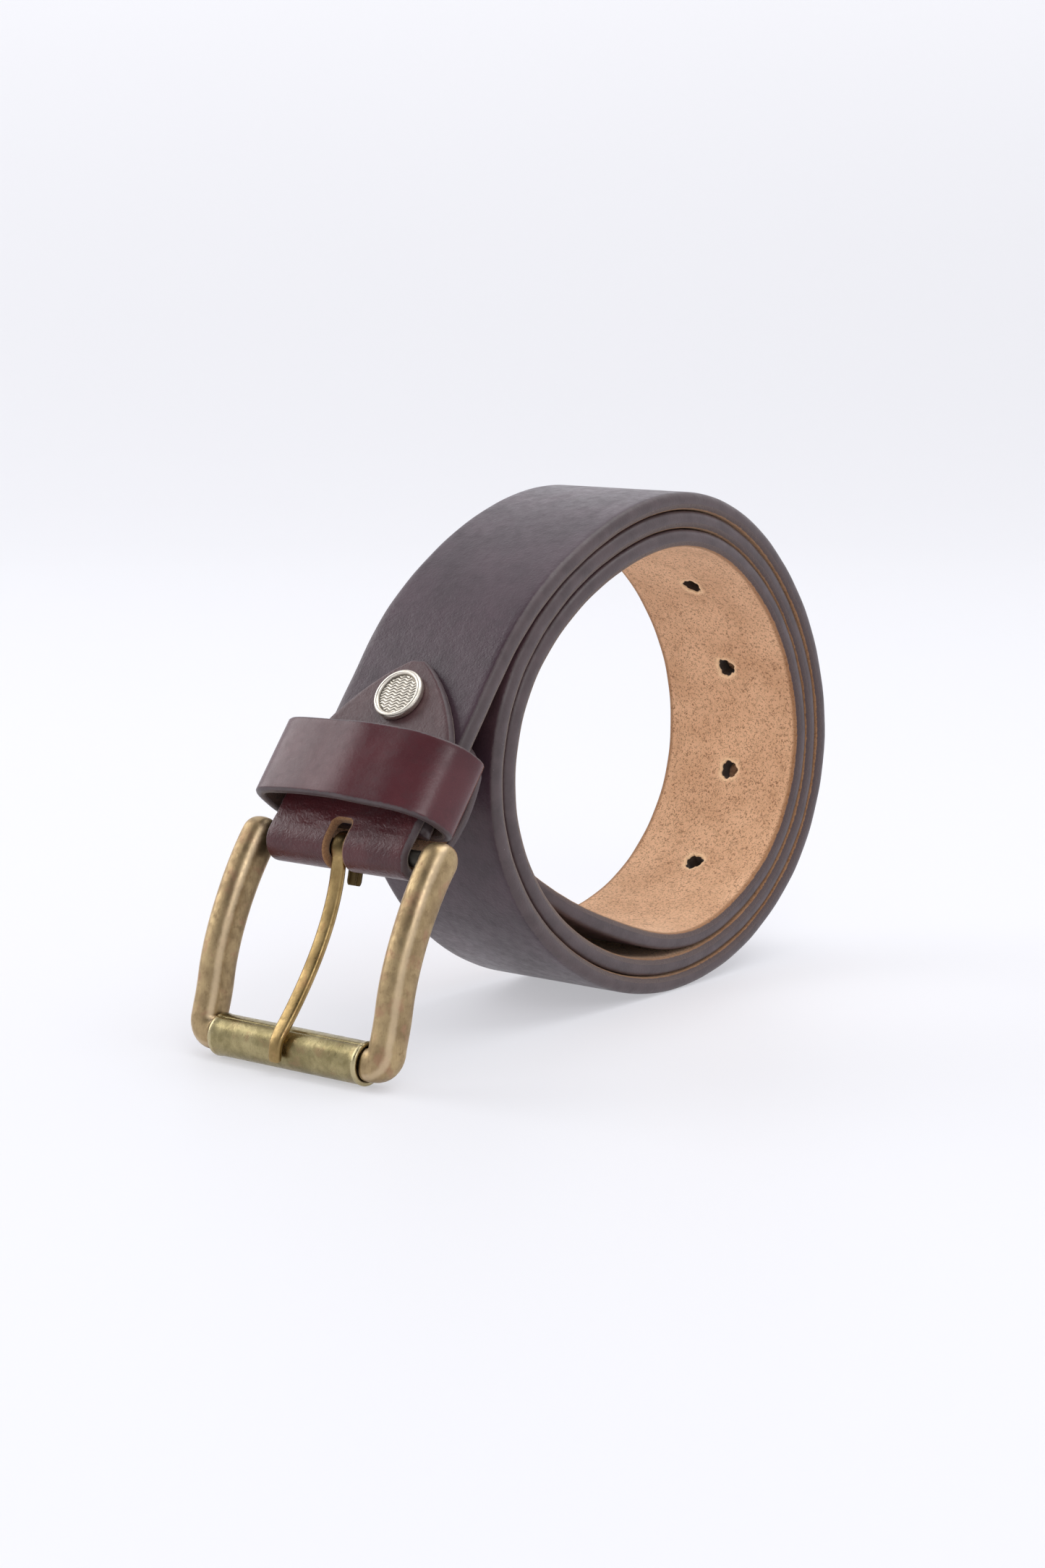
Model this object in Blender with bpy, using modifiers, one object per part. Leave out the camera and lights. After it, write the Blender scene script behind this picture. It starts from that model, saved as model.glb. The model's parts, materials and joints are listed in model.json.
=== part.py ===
"""Leather belt with a roller buckle, coiled into a roll that stands on its rim.

X runs from the buckle (negative) to the roll (positive), Y across the strap, Z up.
The origin is on the ground, under the middle of the whole belt. Lengths in the code are
millimetres, and become metres where a mesh is made.
"""

import math

import bmesh
import bpy
from mathutils import Matrix, Vector

MM = 0.001

# Strap
STRAP_WIDTH = 38.0
STRAP_THICK = 3.8
STRAP_EDGE_ROUND = 1.0
STRAP_TIP_LENGTH = 42.0
STRAP_TIP_BLUNT = 0.8
STRAP_END_TRIM = 0.5

# Roll: a spiral seen along +Y, its angles counted from +X towards +Z
ROLL_X = 23.86
ROLL_FIRST_RADIUS = 47.94
ROLL_PITCH = 4.15
ROLL_TIP_ANGLE = 195.0
ROLL_LEAVE_ANGLE = 1205.0
ROLL_STEP_ANGLE = 5.0
ROLL_SAG = ((2, 4.1, -3.5), (3, 0.92, -49.0), (4, 0.65, -10.0))  # lobes, depth, direction
TIP_LIFT = 3.0
TIP_LIFT_END_ANGLE = 292.0

# Prong holes: the first one's distance from the tip, then equal steps
HOLE_COUNT = 5
HOLE_RADIUS = 2.2
HOLE_FIRST = 100.2
HOLE_STEP = 26.6

# Tail: the straight end of the strap, from the roll down to the heel bar
HEEL_BAR_X = ROLL_X - 88.1
HEEL_BAR_Z = 43.9
TAIL_LEAN = 37.8
TAIL_STRAIGHT = 47.0
STRAP_END_UP = 5.2

# Chape
GAP = 0.3
CHAPE_THICK = 2.2
FRONT_TONGUE_UP = 44.2
FRONT_TONGUE_LENGTH = 22.0
BACK_TONGUE_UP = 40.0
BACK_TONGUE_LENGTH = 18.0
TONGUE_POINT = 1.5
POCKET_LOW_UP = 2.4
POCKET_TOP_UP = 26.6
POCKET_CLOSE = 3.4
POCKET_BULGE = 2.4
FOLD_RADIUS = 3.6
FOLD_STEPS = 10
SLOT_WIDTH = 5.6
SLOT_TOP_UP = 4.4
SLOT_CORNER = 1.3
SLOT_REACH = 10.8

# Keeper loop
KEEPER_THICK = 2.2
KEEPER_LOW_UP = 6.2
KEEPER_WIDTH = 18.0
KEEPER_BUTT_GAP = 0.4
STAPLE_WIRE = 0.7
STAPLE_SPAN = 9.0
STAPLE_CLENCH = 3.0

# Rivet
RIVET_UP = 34.2
RIVET_CAP_RADIUS = 5.85
RIVET_CAP_HEIGHT = 2.1
RIVET_POST_RADIUS = 1.8

# Buckle
BAR_RADIUS = 1.75
BAR_HALF = 23.6
ARM_Y = 24.6
ARM_HALF_WIDE = 3.5
ARM_HALF_DEEP = 3.7
EYE_RADIUS = 4.0
CORNER_RADIUS = 3.7
FRONT_BAR_X = ROLL_X - 105.0
FRONT_BAR_RADIUS = 3.0
ROLLER_RADIUS = 4.6
ROLLER_WALL = 1.05
ROLLER_HALF = 20.4
PRONG_WIDTH = 3.5
PRONG_THICK = 1.5
RING_POINTS = 16

ACROSS = Vector((0.0, 1.0, 0.0))
LEAN = math.radians(TAIL_LEAN)
UP_TAIL = Vector((math.sin(LEAN), 0.0, math.cos(LEAN)))
OUT_OF_TAIL = Vector((-math.cos(LEAN), 0.0, math.sin(LEAN)))
HEEL_BAR = Vector((HEEL_BAR_X, 0.0, HEEL_BAR_Z))
FRONT_BAR = Vector((FRONT_BAR_X, 0.0, ROLLER_RADIUS))


# ---------------------------------------------------------------- scene helpers


def clear_scene():
    for old in list(bpy.data.objects):
        bpy.data.objects.remove(old, do_unlink=True)


def new_collection(name):
    collection = bpy.data.collections.new(name)
    bpy.context.scene.collection.children.link(collection)
    return collection


def new_material(name, colour, metallic, roughness):
    material = bpy.data.materials.new(name)
    material.use_nodes = True
    shader = material.node_tree.nodes["Principled BSDF"]
    shader.inputs["Base Color"].default_value = (*colour, 1.0)
    shader.inputs["Metallic"].default_value = metallic
    shader.inputs["Roughness"].default_value = roughness
    return material


def new_object(name, data, collection, material=None):
    obj = bpy.data.objects.new(name, data)
    collection.objects.link(obj)
    if material is not None:
        data.materials.append(material)
    return obj


def mesh_from(name, points, faces, origin):
    """A mesh of millimetre points, measured from an origin that is also in millimetres."""
    mesh = bpy.data.meshes.new(name)
    mesh.from_pydata([(point - origin) * MM for point in points], [], faces)
    mesh.update()
    return mesh


def as_cutter(obj):
    obj.hide_render = True
    obj.display_type = "WIRE"
    return obj


def cut(obj, cutter):
    boolean = obj.modifiers.new("cut_" + cutter.name, "BOOLEAN")
    boolean.operation = "DIFFERENCE"
    boolean.object = cutter


def round_edges(obj, width, segments):
    bevel = obj.modifiers.new("rounded_edges", "BEVEL")
    bevel.width = width * MM
    bevel.segments = segments
    bevel.limit_method = "ANGLE"
    bevel.angle_limit = math.radians(50.0)


def shade_round(obj):
    obj.data.shade_smooth()
    obj.data.set_sharp_from_angle(angle=math.radians(40.0))


def ribbon(name, spine, across, thick, origin, collection, material):
    """A strip: each row of the spine is a point on its middle line and a half width."""
    points = []
    for middle, half_width in spine:
        points.append(middle - across * half_width)
        points.append(middle + across * half_width)
    faces = [(2 * i, 2 * i + 1, 2 * i + 3, 2 * i + 2) for i in range(len(spine) - 1)]
    strip = new_object(name, mesh_from(name, points, faces, origin), collection, material)
    strip.location = origin * MM
    solidify = strip.modifiers.new("thickness", "SOLIDIFY")
    solidify.thickness = thick * MM
    solidify.offset = 0.0
    solidify.use_even_offset = True
    return strip


def turned(name, profile, centre, axis, collection, material, steps):
    """A turned piece. The profile is (radius, height) down its outer side."""
    points = [Vector((radius, 0.0, height)) for radius, height in profile]
    mesh = mesh_from(name, points, [], Vector())
    mesh.edges.add(len(points) - 1)
    for i, edge in enumerate(mesh.edges):
        edge.vertices = (i, i + 1)
    piece = new_object(name, mesh, collection, material)
    piece.location = centre * MM
    piece.rotation_mode = "QUATERNION"
    piece.rotation_quaternion = axis.to_track_quat("Z", "Y")
    screw = piece.modifiers.new("turn", "SCREW")
    screw.axis = "Z"
    screw.steps = steps
    screw.render_steps = steps
    screw.use_merge_vertices = True
    screw.merge_threshold = 0.0001
    screw.use_normal_calculate = False
    return piece


def cylinder(name, radius, half_length, centre, axis, collection, material=None, sides=24):
    bm = bmesh.new()
    bmesh.ops.create_cone(
        bm,
        cap_ends=True,
        segments=sides,
        radius1=radius * MM,
        radius2=radius * MM,
        depth=2.0 * half_length * MM,
    )
    mesh = bpy.data.meshes.new(name)
    bm.to_mesh(mesh)
    bm.free()
    piece = new_object(name, mesh, collection, material)
    piece.location = centre * MM
    piece.rotation_mode = "QUATERNION"
    piece.rotation_quaternion = axis.to_track_quat("Z", "Y")
    return piece


def bezier(start, start_handle, end_handle, end, steps):
    """Points along one cubic, the first left out."""
    points = []
    for i in range(1, steps + 1):
        t = i / steps
        s = 1.0 - t
        points.append(
            start * s**3
            + start_handle * 3.0 * s * s * t
            + end_handle * 3.0 * s * t * t
            + end * t**3
        )
    return points


def tongue_half_width(from_tip, length, half_width, point=1.0):
    """The half width at a distance from a tongue's tip: an ellipse at point 1, sharper above."""
    if from_tip >= length:
        return half_width
    return half_width * (1.0 - (1.0 - from_tip / length) ** (2.0 / point)) ** (0.5 * point)


def on_tail(up, out, y=0.0):
    """A point from its height up the tail, its distance out from the strap's middle, and y."""
    return HEEL_BAR + UP_TAIL * up + OUT_OF_TAIL * out + ACROSS * y


# ---------------------------------------------------------------- strap


def roll_radius(angle):
    radius = ROLL_FIRST_RADIUS + ROLL_PITCH * (angle - ROLL_TIP_ANGLE) / 360.0
    for lobes, depth, direction in ROLL_SAG:
        radius += depth * math.cos(math.radians(lobes * (angle - direction)))
    if angle < TIP_LIFT_END_ANGLE:
        along = (angle - ROLL_TIP_ANGLE) / (TIP_LIFT_END_ANGLE - ROLL_TIP_ANGLE)
        radius -= TIP_LIFT * math.sin(math.pi * along) ** 2
    return radius


def roll_lowest():
    """How far the underside of the outer turn is below the roll's axis."""
    angles = [900.0 + 0.5 * i for i in range(360)]
    lowest = min(roll_radius(a) * math.sin(math.radians(a)) for a in angles)
    return lowest - STRAP_THICK / 2.0


ROLL_Z = -roll_lowest()


def roll_point(angle):
    radius = roll_radius(angle)
    turn = math.radians(angle)
    return Vector((ROLL_X + radius * math.cos(turn), 0.0, ROLL_Z + radius * math.sin(turn)))


def strap_line():
    """The strap's middle line, from its free tip to its end at the chape."""
    steps = round((ROLL_LEAVE_ANGLE - ROLL_TIP_ANGLE) / ROLL_STEP_ANGLE)
    line = [roll_point(ROLL_TIP_ANGLE + ROLL_STEP_ANGLE * i) for i in range(steps + 1)]
    leaving = (roll_point(ROLL_LEAVE_ANGLE + 1.0) - roll_point(ROLL_LEAVE_ANGLE - 1.0)).normalized()
    tail_top = on_tail(TAIL_STRAIGHT, 0.0)
    reach = (tail_top - line[-1]).length / 3.0
    line += bezier(line[-1], line[-1] + leaving * reach, tail_top + UP_TAIL * reach, tail_top, 7)
    line.append(on_tail(STRAP_END_UP, 0.0))
    return line


def refine_tip(line):
    """Adds rows near the tip, where the outline is round."""
    extra = [line[0].lerp(line[1], part) for part in (0.25, 0.6)]
    return line[:1] + extra + line[1:]


def point_at(line, distance):
    """The point and direction at a distance along a line."""
    for start, end in zip(line, line[1:]):
        length = (end - start).length
        if distance <= length:
            return start.lerp(end, distance / length), (end - start).normalized()
        distance -= length
    return line[-1], (line[-1] - line[-2]).normalized()


def make_strap(parts, cutters, leather):
    line = strap_line()
    half = STRAP_WIDTH / 2.0
    spine = []
    from_tip = STRAP_TIP_BLUNT
    previous = line[0]
    for middle in refine_tip(line):
        from_tip += (middle - previous).length
        spine.append((middle, tongue_half_width(from_tip, STRAP_TIP_LENGTH, half)))
        previous = middle
    tail_top = spine[-2][0]
    trimmed_from = tail_top - UP_TAIL * 1.0
    spine[-1:] = [(trimmed_from, half - STRAP_END_TRIM), (spine[-1][0], half - STRAP_END_TRIM)]
    strap = ribbon("strap", spine, ACROSS, STRAP_THICK, HEEL_BAR, parts, leather)
    round_edges(strap, STRAP_EDGE_ROUND, 1)
    for number in range(HOLE_COUNT):
        centre, direction = point_at(line, HOLE_FIRST + HOLE_STEP * number)
        inward = direction.cross(ACROSS) * -1.0
        if (Vector((ROLL_X, 0.0, ROLL_Z)) - centre).dot(inward) < 0.0:
            inward.negate()
        reach_out = STRAP_THICK / 2.0 + 0.5 * GAP
        reach_in = STRAP_THICK
        middle = centre + inward * (reach_in - reach_out) / 2.0
        punch = cylinder(
            f"prong_hole_{number + 1}",
            HOLE_RADIUS,
            (reach_in + reach_out) / 2.0,
            middle,
            inward,
            cutters,
            sides=16,
        )
        cut(strap, as_cutter(punch))
    shade_round(strap)
    return strap


# ---------------------------------------------------------------- chape


def back_tongue_out(up, against_strap):
    """Where the back tongue's middle line is: a pocket for the keeper, closed at its top."""
    share = (up - POCKET_LOW_UP) / (POCKET_TOP_UP - POCKET_LOW_UP)
    closed = min(max((up - POCKET_TOP_UP) / POCKET_CLOSE, 0.0), 1.0)
    keeper_room = KEEPER_THICK + 2.0 * GAP + 0.4
    bulge = POCKET_BULGE * math.sin(math.pi * min(share, 1.0))
    return against_strap - keeper_room * (1.0 - closed) - bulge


def chape_rows():
    """Rows of (up, out, half width): front tongue, fold round the heel bar, back tongue."""
    half = STRAP_WIDTH / 2.0
    front = STRAP_THICK / 2.0 + GAP + CHAPE_THICK / 2.0
    rows = []
    for from_tip in (0.4, 1.6, 4.0, 8.0, 13.0, FRONT_TONGUE_LENGTH):
        half_width = tongue_half_width(from_tip, FRONT_TONGUE_LENGTH, half, TONGUE_POINT)
        rows.append((FRONT_TONGUE_UP - from_tip, front, half_width))
    rows.append((8.0, front, half))
    rows.append((4.0, (front + FOLD_RADIUS) / 2.0, half))
    for i in range(FOLD_STEPS + 1):
        turn = math.pi * i / FOLD_STEPS
        rows.append((-FOLD_RADIUS * math.sin(turn), FOLD_RADIUS * math.cos(turn), half))
    rows.append((POCKET_LOW_UP, -FOLD_RADIUS - 0.8, half))
    pocket_rows = (5.2, 8.0, 11.0, 14.0, 17.0, 20.0, 23.0, POCKET_TOP_UP, 28.4)
    for up in pocket_rows + (30.0, 32.5, 35.0, 37.2, 38.8, 39.7):
        half_width = tongue_half_width(BACK_TONGUE_UP - up, BACK_TONGUE_LENGTH, half, TONGUE_POINT)
        rows.append((up, back_tongue_out(up, -front), half_width))
    return rows


def make_chape(parts, cutters, leather):
    spine = [(on_tail(up, out), half_width) for up, out, half_width in chape_rows()]
    chape = ribbon("chape", spine, ACROSS, CHAPE_THICK, HEEL_BAR, parts, leather)
    cut(chape, slot_cutter(cutters))
    shade_round(chape)
    return chape


def slot_cutter(cutters):
    """The oblong slot for the prong, seen along the way out of the tail."""
    half = SLOT_WIDTH / 2.0
    outline = [(half, -SLOT_REACH)]
    for middle, first in ((half - SLOT_CORNER, 0.0), (SLOT_CORNER - half, math.pi / 2.0)):
        for i in range(4):
            turn = first + math.pi / 6.0 * i
            up = SLOT_TOP_UP - SLOT_CORNER + SLOT_CORNER * math.sin(turn)
            outline.append((middle + SLOT_CORNER * math.cos(turn), up))
    outline.append((-half, -SLOT_REACH))
    curve = bpy.data.curves.new("prong_slot", "CURVE")
    curve.dimensions = "2D"
    curve.fill_mode = "BOTH"
    curve.extrude = SLOT_REACH * MM
    spline = curve.splines.new("POLY")
    spline.points.add(len(outline) - 1)
    for point, (y, up) in zip(spline.points, outline):
        point.co = (y * MM, up * MM, 0.0, 1.0)
    spline.use_cyclic_u = True
    flat = new_object("prong_slot_outline", curve, cutters)
    flat.location = HEEL_BAR * MM
    flat.rotation_mode = "QUATERNION"
    flat.rotation_quaternion = tail_rotation()
    return as_cutter(mesh_of_curve(flat, "prong_slot", cutters))


def tail_rotation():
    """Turns x across the strap, y up the tail, and z into the roll."""
    columns = (ACROSS, UP_TAIL, ACROSS.cross(UP_TAIL))
    return Matrix([[column[row] for column in columns] for row in range(3)]).to_quaternion()


def mesh_of_curve(curve_object, name, collection, material=None):
    """The mesh of a curve object, its caps welded; the curve is removed."""
    bpy.context.view_layer.update()
    evaluated = curve_object.evaluated_get(bpy.context.evaluated_depsgraph_get())
    mesh = bpy.data.meshes.new_from_object(evaluated)
    mesh.name = name
    bm = bmesh.new()
    bm.from_mesh(mesh)
    bmesh.ops.remove_doubles(bm, verts=bm.verts, dist=0.00001)
    bm.to_mesh(mesh)
    bm.free()
    mesh.materials.clear()
    made = new_object(name, mesh, collection, material)
    made.matrix_world = curve_object.matrix_world.copy()
    bpy.data.objects.remove(curve_object, do_unlink=True)
    return made


# ---------------------------------------------------------------- keeper


def keeper_back():
    """How far the middle of the keeper's back is behind the middle of the strap."""
    return STRAP_THICK / 2.0 + GAP + 0.2 + KEEPER_THICK / 2.0


def keeper_line():
    """The keeper's middle line as (y, out), from one end of the strip to the other."""
    back = -keeper_back()
    shape = (
        (KEEPER_BUTT_GAP / 2.0, back),
        (19.0, back),
        (22.2, back + 0.9),
        (23.3, back + 3.4),
        (23.4, 5.0),
        (22.6, 7.4),
        (20.2, 9.0),
        (12.0, 10.0),
        (-9.0, 9.9),
        (-14.4, 9.0),
        (-18.9, 7.0),
        (-22.0, 4.0),
        (-23.0, 0.6),
        (-22.8, back + 2.2),
        (-21.0, back + 0.6),
        (-18.6, back),
        (-KEEPER_BUTT_GAP / 2.0, back),
    )
    return shape


def make_keeper(parts, cutters, leather):
    half = KEEPER_WIDTH / 2.0
    middle_up = KEEPER_LOW_UP + half
    spine = [(on_tail(middle_up, out, y), half) for y, out in keeper_line()]
    centre = on_tail(middle_up, 0.0)
    keeper = ribbon("keeper_loop", spine, UP_TAIL, KEEPER_THICK, centre, parts, leather)
    cut(keeper, as_cutter(staple_wire("staple_room", STAPLE_WIRE / 2.0 + GAP, cutters)))
    shade_round(keeper)
    return keeper


def staple_wire(name, radius, collection, material=None):
    """The staple: a crown behind the keeper's two ends, its legs clenched in front."""
    up = KEEPER_LOW_UP + KEEPER_WIDTH / 2.0
    sunk = KEEPER_THICK / 2.0 - STAPLE_WIRE / 2.0 - 0.1
    behind = -keeper_back() - sunk
    before = -keeper_back() + sunk
    side = STAPLE_SPAN / 2.0
    route = (
        (side - STAPLE_CLENCH, before),
        (side, before),
        (side, behind),
        (-side, behind),
        (-side, before),
        (-side + STAPLE_CLENCH, before),
    )
    curve = bpy.data.curves.new(name, "CURVE")
    curve.dimensions = "3D"
    curve.bevel_depth = radius * MM
    curve.bevel_resolution = 1
    curve.use_fill_caps = True
    spline = curve.splines.new("POLY")
    spline.points.add(len(route) - 1)
    for point, (y, out) in zip(spline.points, route):
        point.co = (*((on_tail(up, out, y)) * MM), 1.0)
    wire = new_object(name + "_route", curve, collection)
    return mesh_of_curve(wire, name, collection, material)


# ---------------------------------------------------------------- rivet


def rivet_seat():
    """How far the tongues' outer faces are from the middle of the strap."""
    return STRAP_THICK / 2.0 + GAP + CHAPE_THICK


def make_rivet(parts, metal_cap, metal_post):
    base = rivet_seat() + GAP
    top = base + RIVET_CAP_HEIGHT
    socket = RIVET_POST_RADIUS + GAP
    rim = RIVET_CAP_RADIUS
    cap_profile = (
        (0.0, top - 0.8),
        (rim - 1.5, top - 0.8),
        (rim - 1.2, top - 0.1),
        (rim - 0.8, top),
        (rim - 0.4, top - 0.1),
        (rim, top - 0.6),
        (rim, base + 0.4),
        (rim - 0.4, base),
        (socket, base),
        (socket, base + 0.7),
        (0.0, base + 0.7),
    )
    centre = on_tail(RIVET_UP, 0.0)
    cap = turned("rivet_cap", cap_profile, centre, OUT_OF_TAIL, parts, metal_cap, 32)
    shade_round(cap)
    flange = rim - 2.1
    post_profile = (
        (0.0, base + 0.7 - GAP),
        (RIVET_POST_RADIUS, base + 0.7 - GAP),
        (RIVET_POST_RADIUS, -base),
        (flange - 0.3, -base),
        (flange, -base - 0.4),
        (flange - 0.5, -base - 0.9),
        (0.0, -base - 1.1),
    )
    post = turned("rivet_post", post_profile, centre, OUT_OF_TAIL, parts, metal_post, 24)
    shade_round(post)


def rivet_hole(cutters):
    centre = on_tail(RIVET_UP, 0.0)
    hole = cylinder(
        "rivet_hole", RIVET_POST_RADIUS + GAP, 7.0, centre, OUT_OF_TAIL, cutters, sides=24
    )
    return as_cutter(hole)


# ---------------------------------------------------------------- buckle


def arm_line():
    """One arm's middle line seen from the side, from the heel bar to the lower corner."""
    hook = Vector((-0.25, 0.0, -0.97)).normalized()
    knee = FRONT_BAR + Vector((3.0, 0.0, 11.4))
    corner = FRONT_BAR - hook * CORNER_RADIUS
    upper = bezier(
        HEEL_BAR,
        HEEL_BAR + Vector((-5.4, 0.0, -6.2)),
        knee + Vector((1.8, 0.0, 9.5)),
        knee,
        9,
    )
    lower = bezier(
        knee,
        knee + Vector((-0.7, 0.0, -3.8)),
        corner - hook * 2.0,
        corner,
        5,
    )
    return [HEEL_BAR] + upper + lower, hook


def ring(centre, depth_axis, width_axis, half_deep, half_wide):
    """A rounded section, a little squarer than an ellipse."""
    points = []
    for i in range(RING_POINTS):
        turn = 2.0 * math.pi * i / RING_POINTS
        across = math.copysign(abs(math.sin(turn)) ** 0.85, math.sin(turn))
        along = math.copysign(abs(math.cos(turn)) ** 0.85, math.cos(turn))
        points.append(
            centre + depth_axis * (half_deep * along) + width_axis * (half_wide * across)
        )
    return points


def frame_rings():
    """Sections of half the frame, from the top of an arm to the middle of the front bar."""
    line, hook = arm_line()
    side = ACROSS * ARM_Y
    rings = []
    first = (line[1] - line[0]).normalized()
    first_depth = first.cross(ACROSS)
    for height in (0.97, 0.8, 0.5):
        size = math.sqrt(1.0 - height * height)
        centre = side + HEEL_BAR - first * (EYE_RADIUS * height)
        wide = ARM_HALF_WIDE * (0.35 + 0.65 * size)
        rings.append(ring(centre, first_depth, ACROSS, EYE_RADIUS * size, wide))
    for i, middle in enumerate(line):
        before = line[max(i - 1, 0)]
        after = line[min(i + 1, len(line) - 1)]
        along = (after - before).normalized() if i < len(line) - 1 else hook
        share = min(i / 5.0, 1.0)
        deep = EYE_RADIUS + (ARM_HALF_DEEP - EYE_RADIUS) * share
        rings.append(ring(side + middle, along.cross(ACROSS), ACROSS, deep, ARM_HALF_WIDE))
    depth = hook.cross(ACROSS)
    corner = side + line[-1]
    for i in range(1, 6):
        turn = math.pi / 2.0 * i / 5.0
        centre = corner + hook * (CORNER_RADIUS * math.sin(turn))
        centre -= ACROSS * (CORNER_RADIUS * (1.0 - math.cos(turn)))
        width_axis = ACROSS * math.cos(turn) + hook * math.sin(turn)
        rings.append(ring(centre, depth, width_axis, ARM_HALF_DEEP, ARM_HALF_WIDE))
    shoulder = FRONT_BAR + ACROSS * (ARM_Y - CORNER_RADIUS)
    for centre in (shoulder, FRONT_BAR):
        rings.append(ring(centre, depth, hook, FRONT_BAR_RADIUS, FRONT_BAR_RADIUS))
    return rings


def make_frame(parts, cutters, brass):
    rings = frame_rings()
    points = [point for section in rings for point in section]
    faces = [tuple(range(RING_POINTS))]
    for i in range(len(rings) - 1):
        low = i * RING_POINTS
        for j in range(RING_POINTS):
            k = (j + 1) % RING_POINTS
            faces.append((low + k, low + j, low + RING_POINTS + j, low + RING_POINTS + k))
    mesh = mesh_from("buckle_frame", points, faces, HEEL_BAR)
    frame = new_object("buckle_frame", mesh, parts, brass)
    frame.location = HEEL_BAR * MM
    mirror = frame.modifiers.new("other_arm", "MIRROR")
    mirror.use_axis = (False, True, False)
    mirror.merge_threshold = 0.0001
    socket = cylinder(
        "heel_bar_room", BAR_RADIUS + GAP, BAR_HALF + GAP, HEEL_BAR, ACROSS, cutters, sides=24
    )
    cut(frame, as_cutter(socket))
    shade_round(frame)
    return frame


def make_roller(parts, cutters, brass):
    roller = cylinder("roller", ROLLER_RADIUS, ROLLER_HALF, FRONT_BAR, ACROSS, parts, brass, 32)
    bore = cylinder(
        "roller_bore", ROLLER_RADIUS - ROLLER_WALL, ROLLER_HALF + 2.0, FRONT_BAR, ACROSS, cutters
    )
    round_edges(roller, 0.5, 1)
    cut(roller, as_cutter(bore))
    shade_round(roller)
    return roller


def prong_line():
    """The prong's middle line: a tab behind the heel bar, a curl over it, the body and the tip."""
    curl = BAR_RADIUS + GAP + PRONG_THICK / 2.0
    line = [HEEL_BAR + Vector((2.0, 0.0, -8.2)), HEEL_BAR + Vector((2.9, 0.0, -4.0))]
    for i in range(10):
        turn = math.radians(-10.0 + 24.0 * i)
        line.append(HEEL_BAR + Vector((math.cos(turn), 0.0, math.sin(turn))) * curl)
    tip = []
    for degrees, lift in ((135.0, 0.15), (156.0, 0.15), (176.0, 0.15), (196.0, 0.4)):
        turn = math.radians(degrees)
        reach = ROLLER_RADIUS + GAP + PRONG_THICK / 2.0 + lift
        tip.append(FRONT_BAR + Vector((math.cos(turn), 0.0, math.sin(turn))) * reach)
    line += bezier(
        line[-1],
        HEEL_BAR + Vector((-3.4, 0.0, -12.0)),
        tip[0] + Vector((10.5, 0.0, 11.5)),
        tip[0],
        10,
    )
    line += tip[1:]
    return line


def make_prong(parts, brass):
    line = prong_line()
    spine = [(middle, PRONG_WIDTH / 2.0) for middle in line]
    spine[0] = (line[0], PRONG_WIDTH / 2.0 - 0.5)
    spine[-1] = (line[-1], PRONG_WIDTH / 2.0 - 0.7)
    prong = ribbon("prong", spine, ACROSS, PRONG_THICK, HEEL_BAR, parts, brass)
    round_edges(prong, 0.45, 1)
    shade_round(prong)
    return prong


def main():
    clear_scene()
    parts = new_collection("leather_belt")
    cutters = new_collection("cutters")
    strap_leather = new_material("strap_leather", (0.085, 0.060, 0.065), 0.0, 0.45)
    chape_leather = new_material("chape_leather", (0.110, 0.035, 0.040), 0.0, 0.35)
    keeper_leather = new_material("keeper_leather", (0.120, 0.038, 0.045), 0.0, 0.32)
    frame_brass = new_material("frame_brass", (0.330, 0.240, 0.130), 1.0, 0.38)
    roller_brass = new_material("roller_brass", (0.300, 0.240, 0.110), 1.0, 0.35)
    prong_brass = new_material("prong_brass", (0.360, 0.250, 0.120), 1.0, 0.35)
    bar_steel = new_material("bar_steel", (0.250, 0.230, 0.200), 1.0, 0.40)
    cap_nickel = new_material("cap_nickel", (0.600, 0.560, 0.490), 1.0, 0.25)
    post_nickel = new_material("post_nickel", (0.560, 0.530, 0.470), 1.0, 0.30)
    staple_steel = new_material("staple_steel", (0.550, 0.550, 0.540), 1.0, 0.30)

    strap = make_strap(parts, cutters, strap_leather)
    chape = make_chape(parts, cutters, chape_leather)
    hole = rivet_hole(cutters)
    cut(strap, hole)
    cut(chape, hole)
    make_keeper(parts, cutters, keeper_leather)
    staple_wire("keeper_staple", STAPLE_WIRE / 2.0, parts, staple_steel)
    make_rivet(parts, cap_nickel, post_nickel)
    make_frame(parts, cutters, frame_brass)
    cylinder("heel_bar", BAR_RADIUS, BAR_HALF, HEEL_BAR, ACROSS, parts, bar_steel)
    make_roller(parts, cutters, roller_brass)
    make_prong(parts, prong_brass)


main()
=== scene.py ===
"""The looks of a coiled leather belt with a roller buckle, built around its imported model.

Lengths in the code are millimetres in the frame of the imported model, and become metres where a
mesh is made. Up and out are measured in the frame of the tail, which is the straight end of the
strap: up runs from the heel bar along the strap, and out runs out of its grain side.
"""

import json
import math

import bmesh
import bpy
import numpy as np
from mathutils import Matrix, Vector, noise


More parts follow.
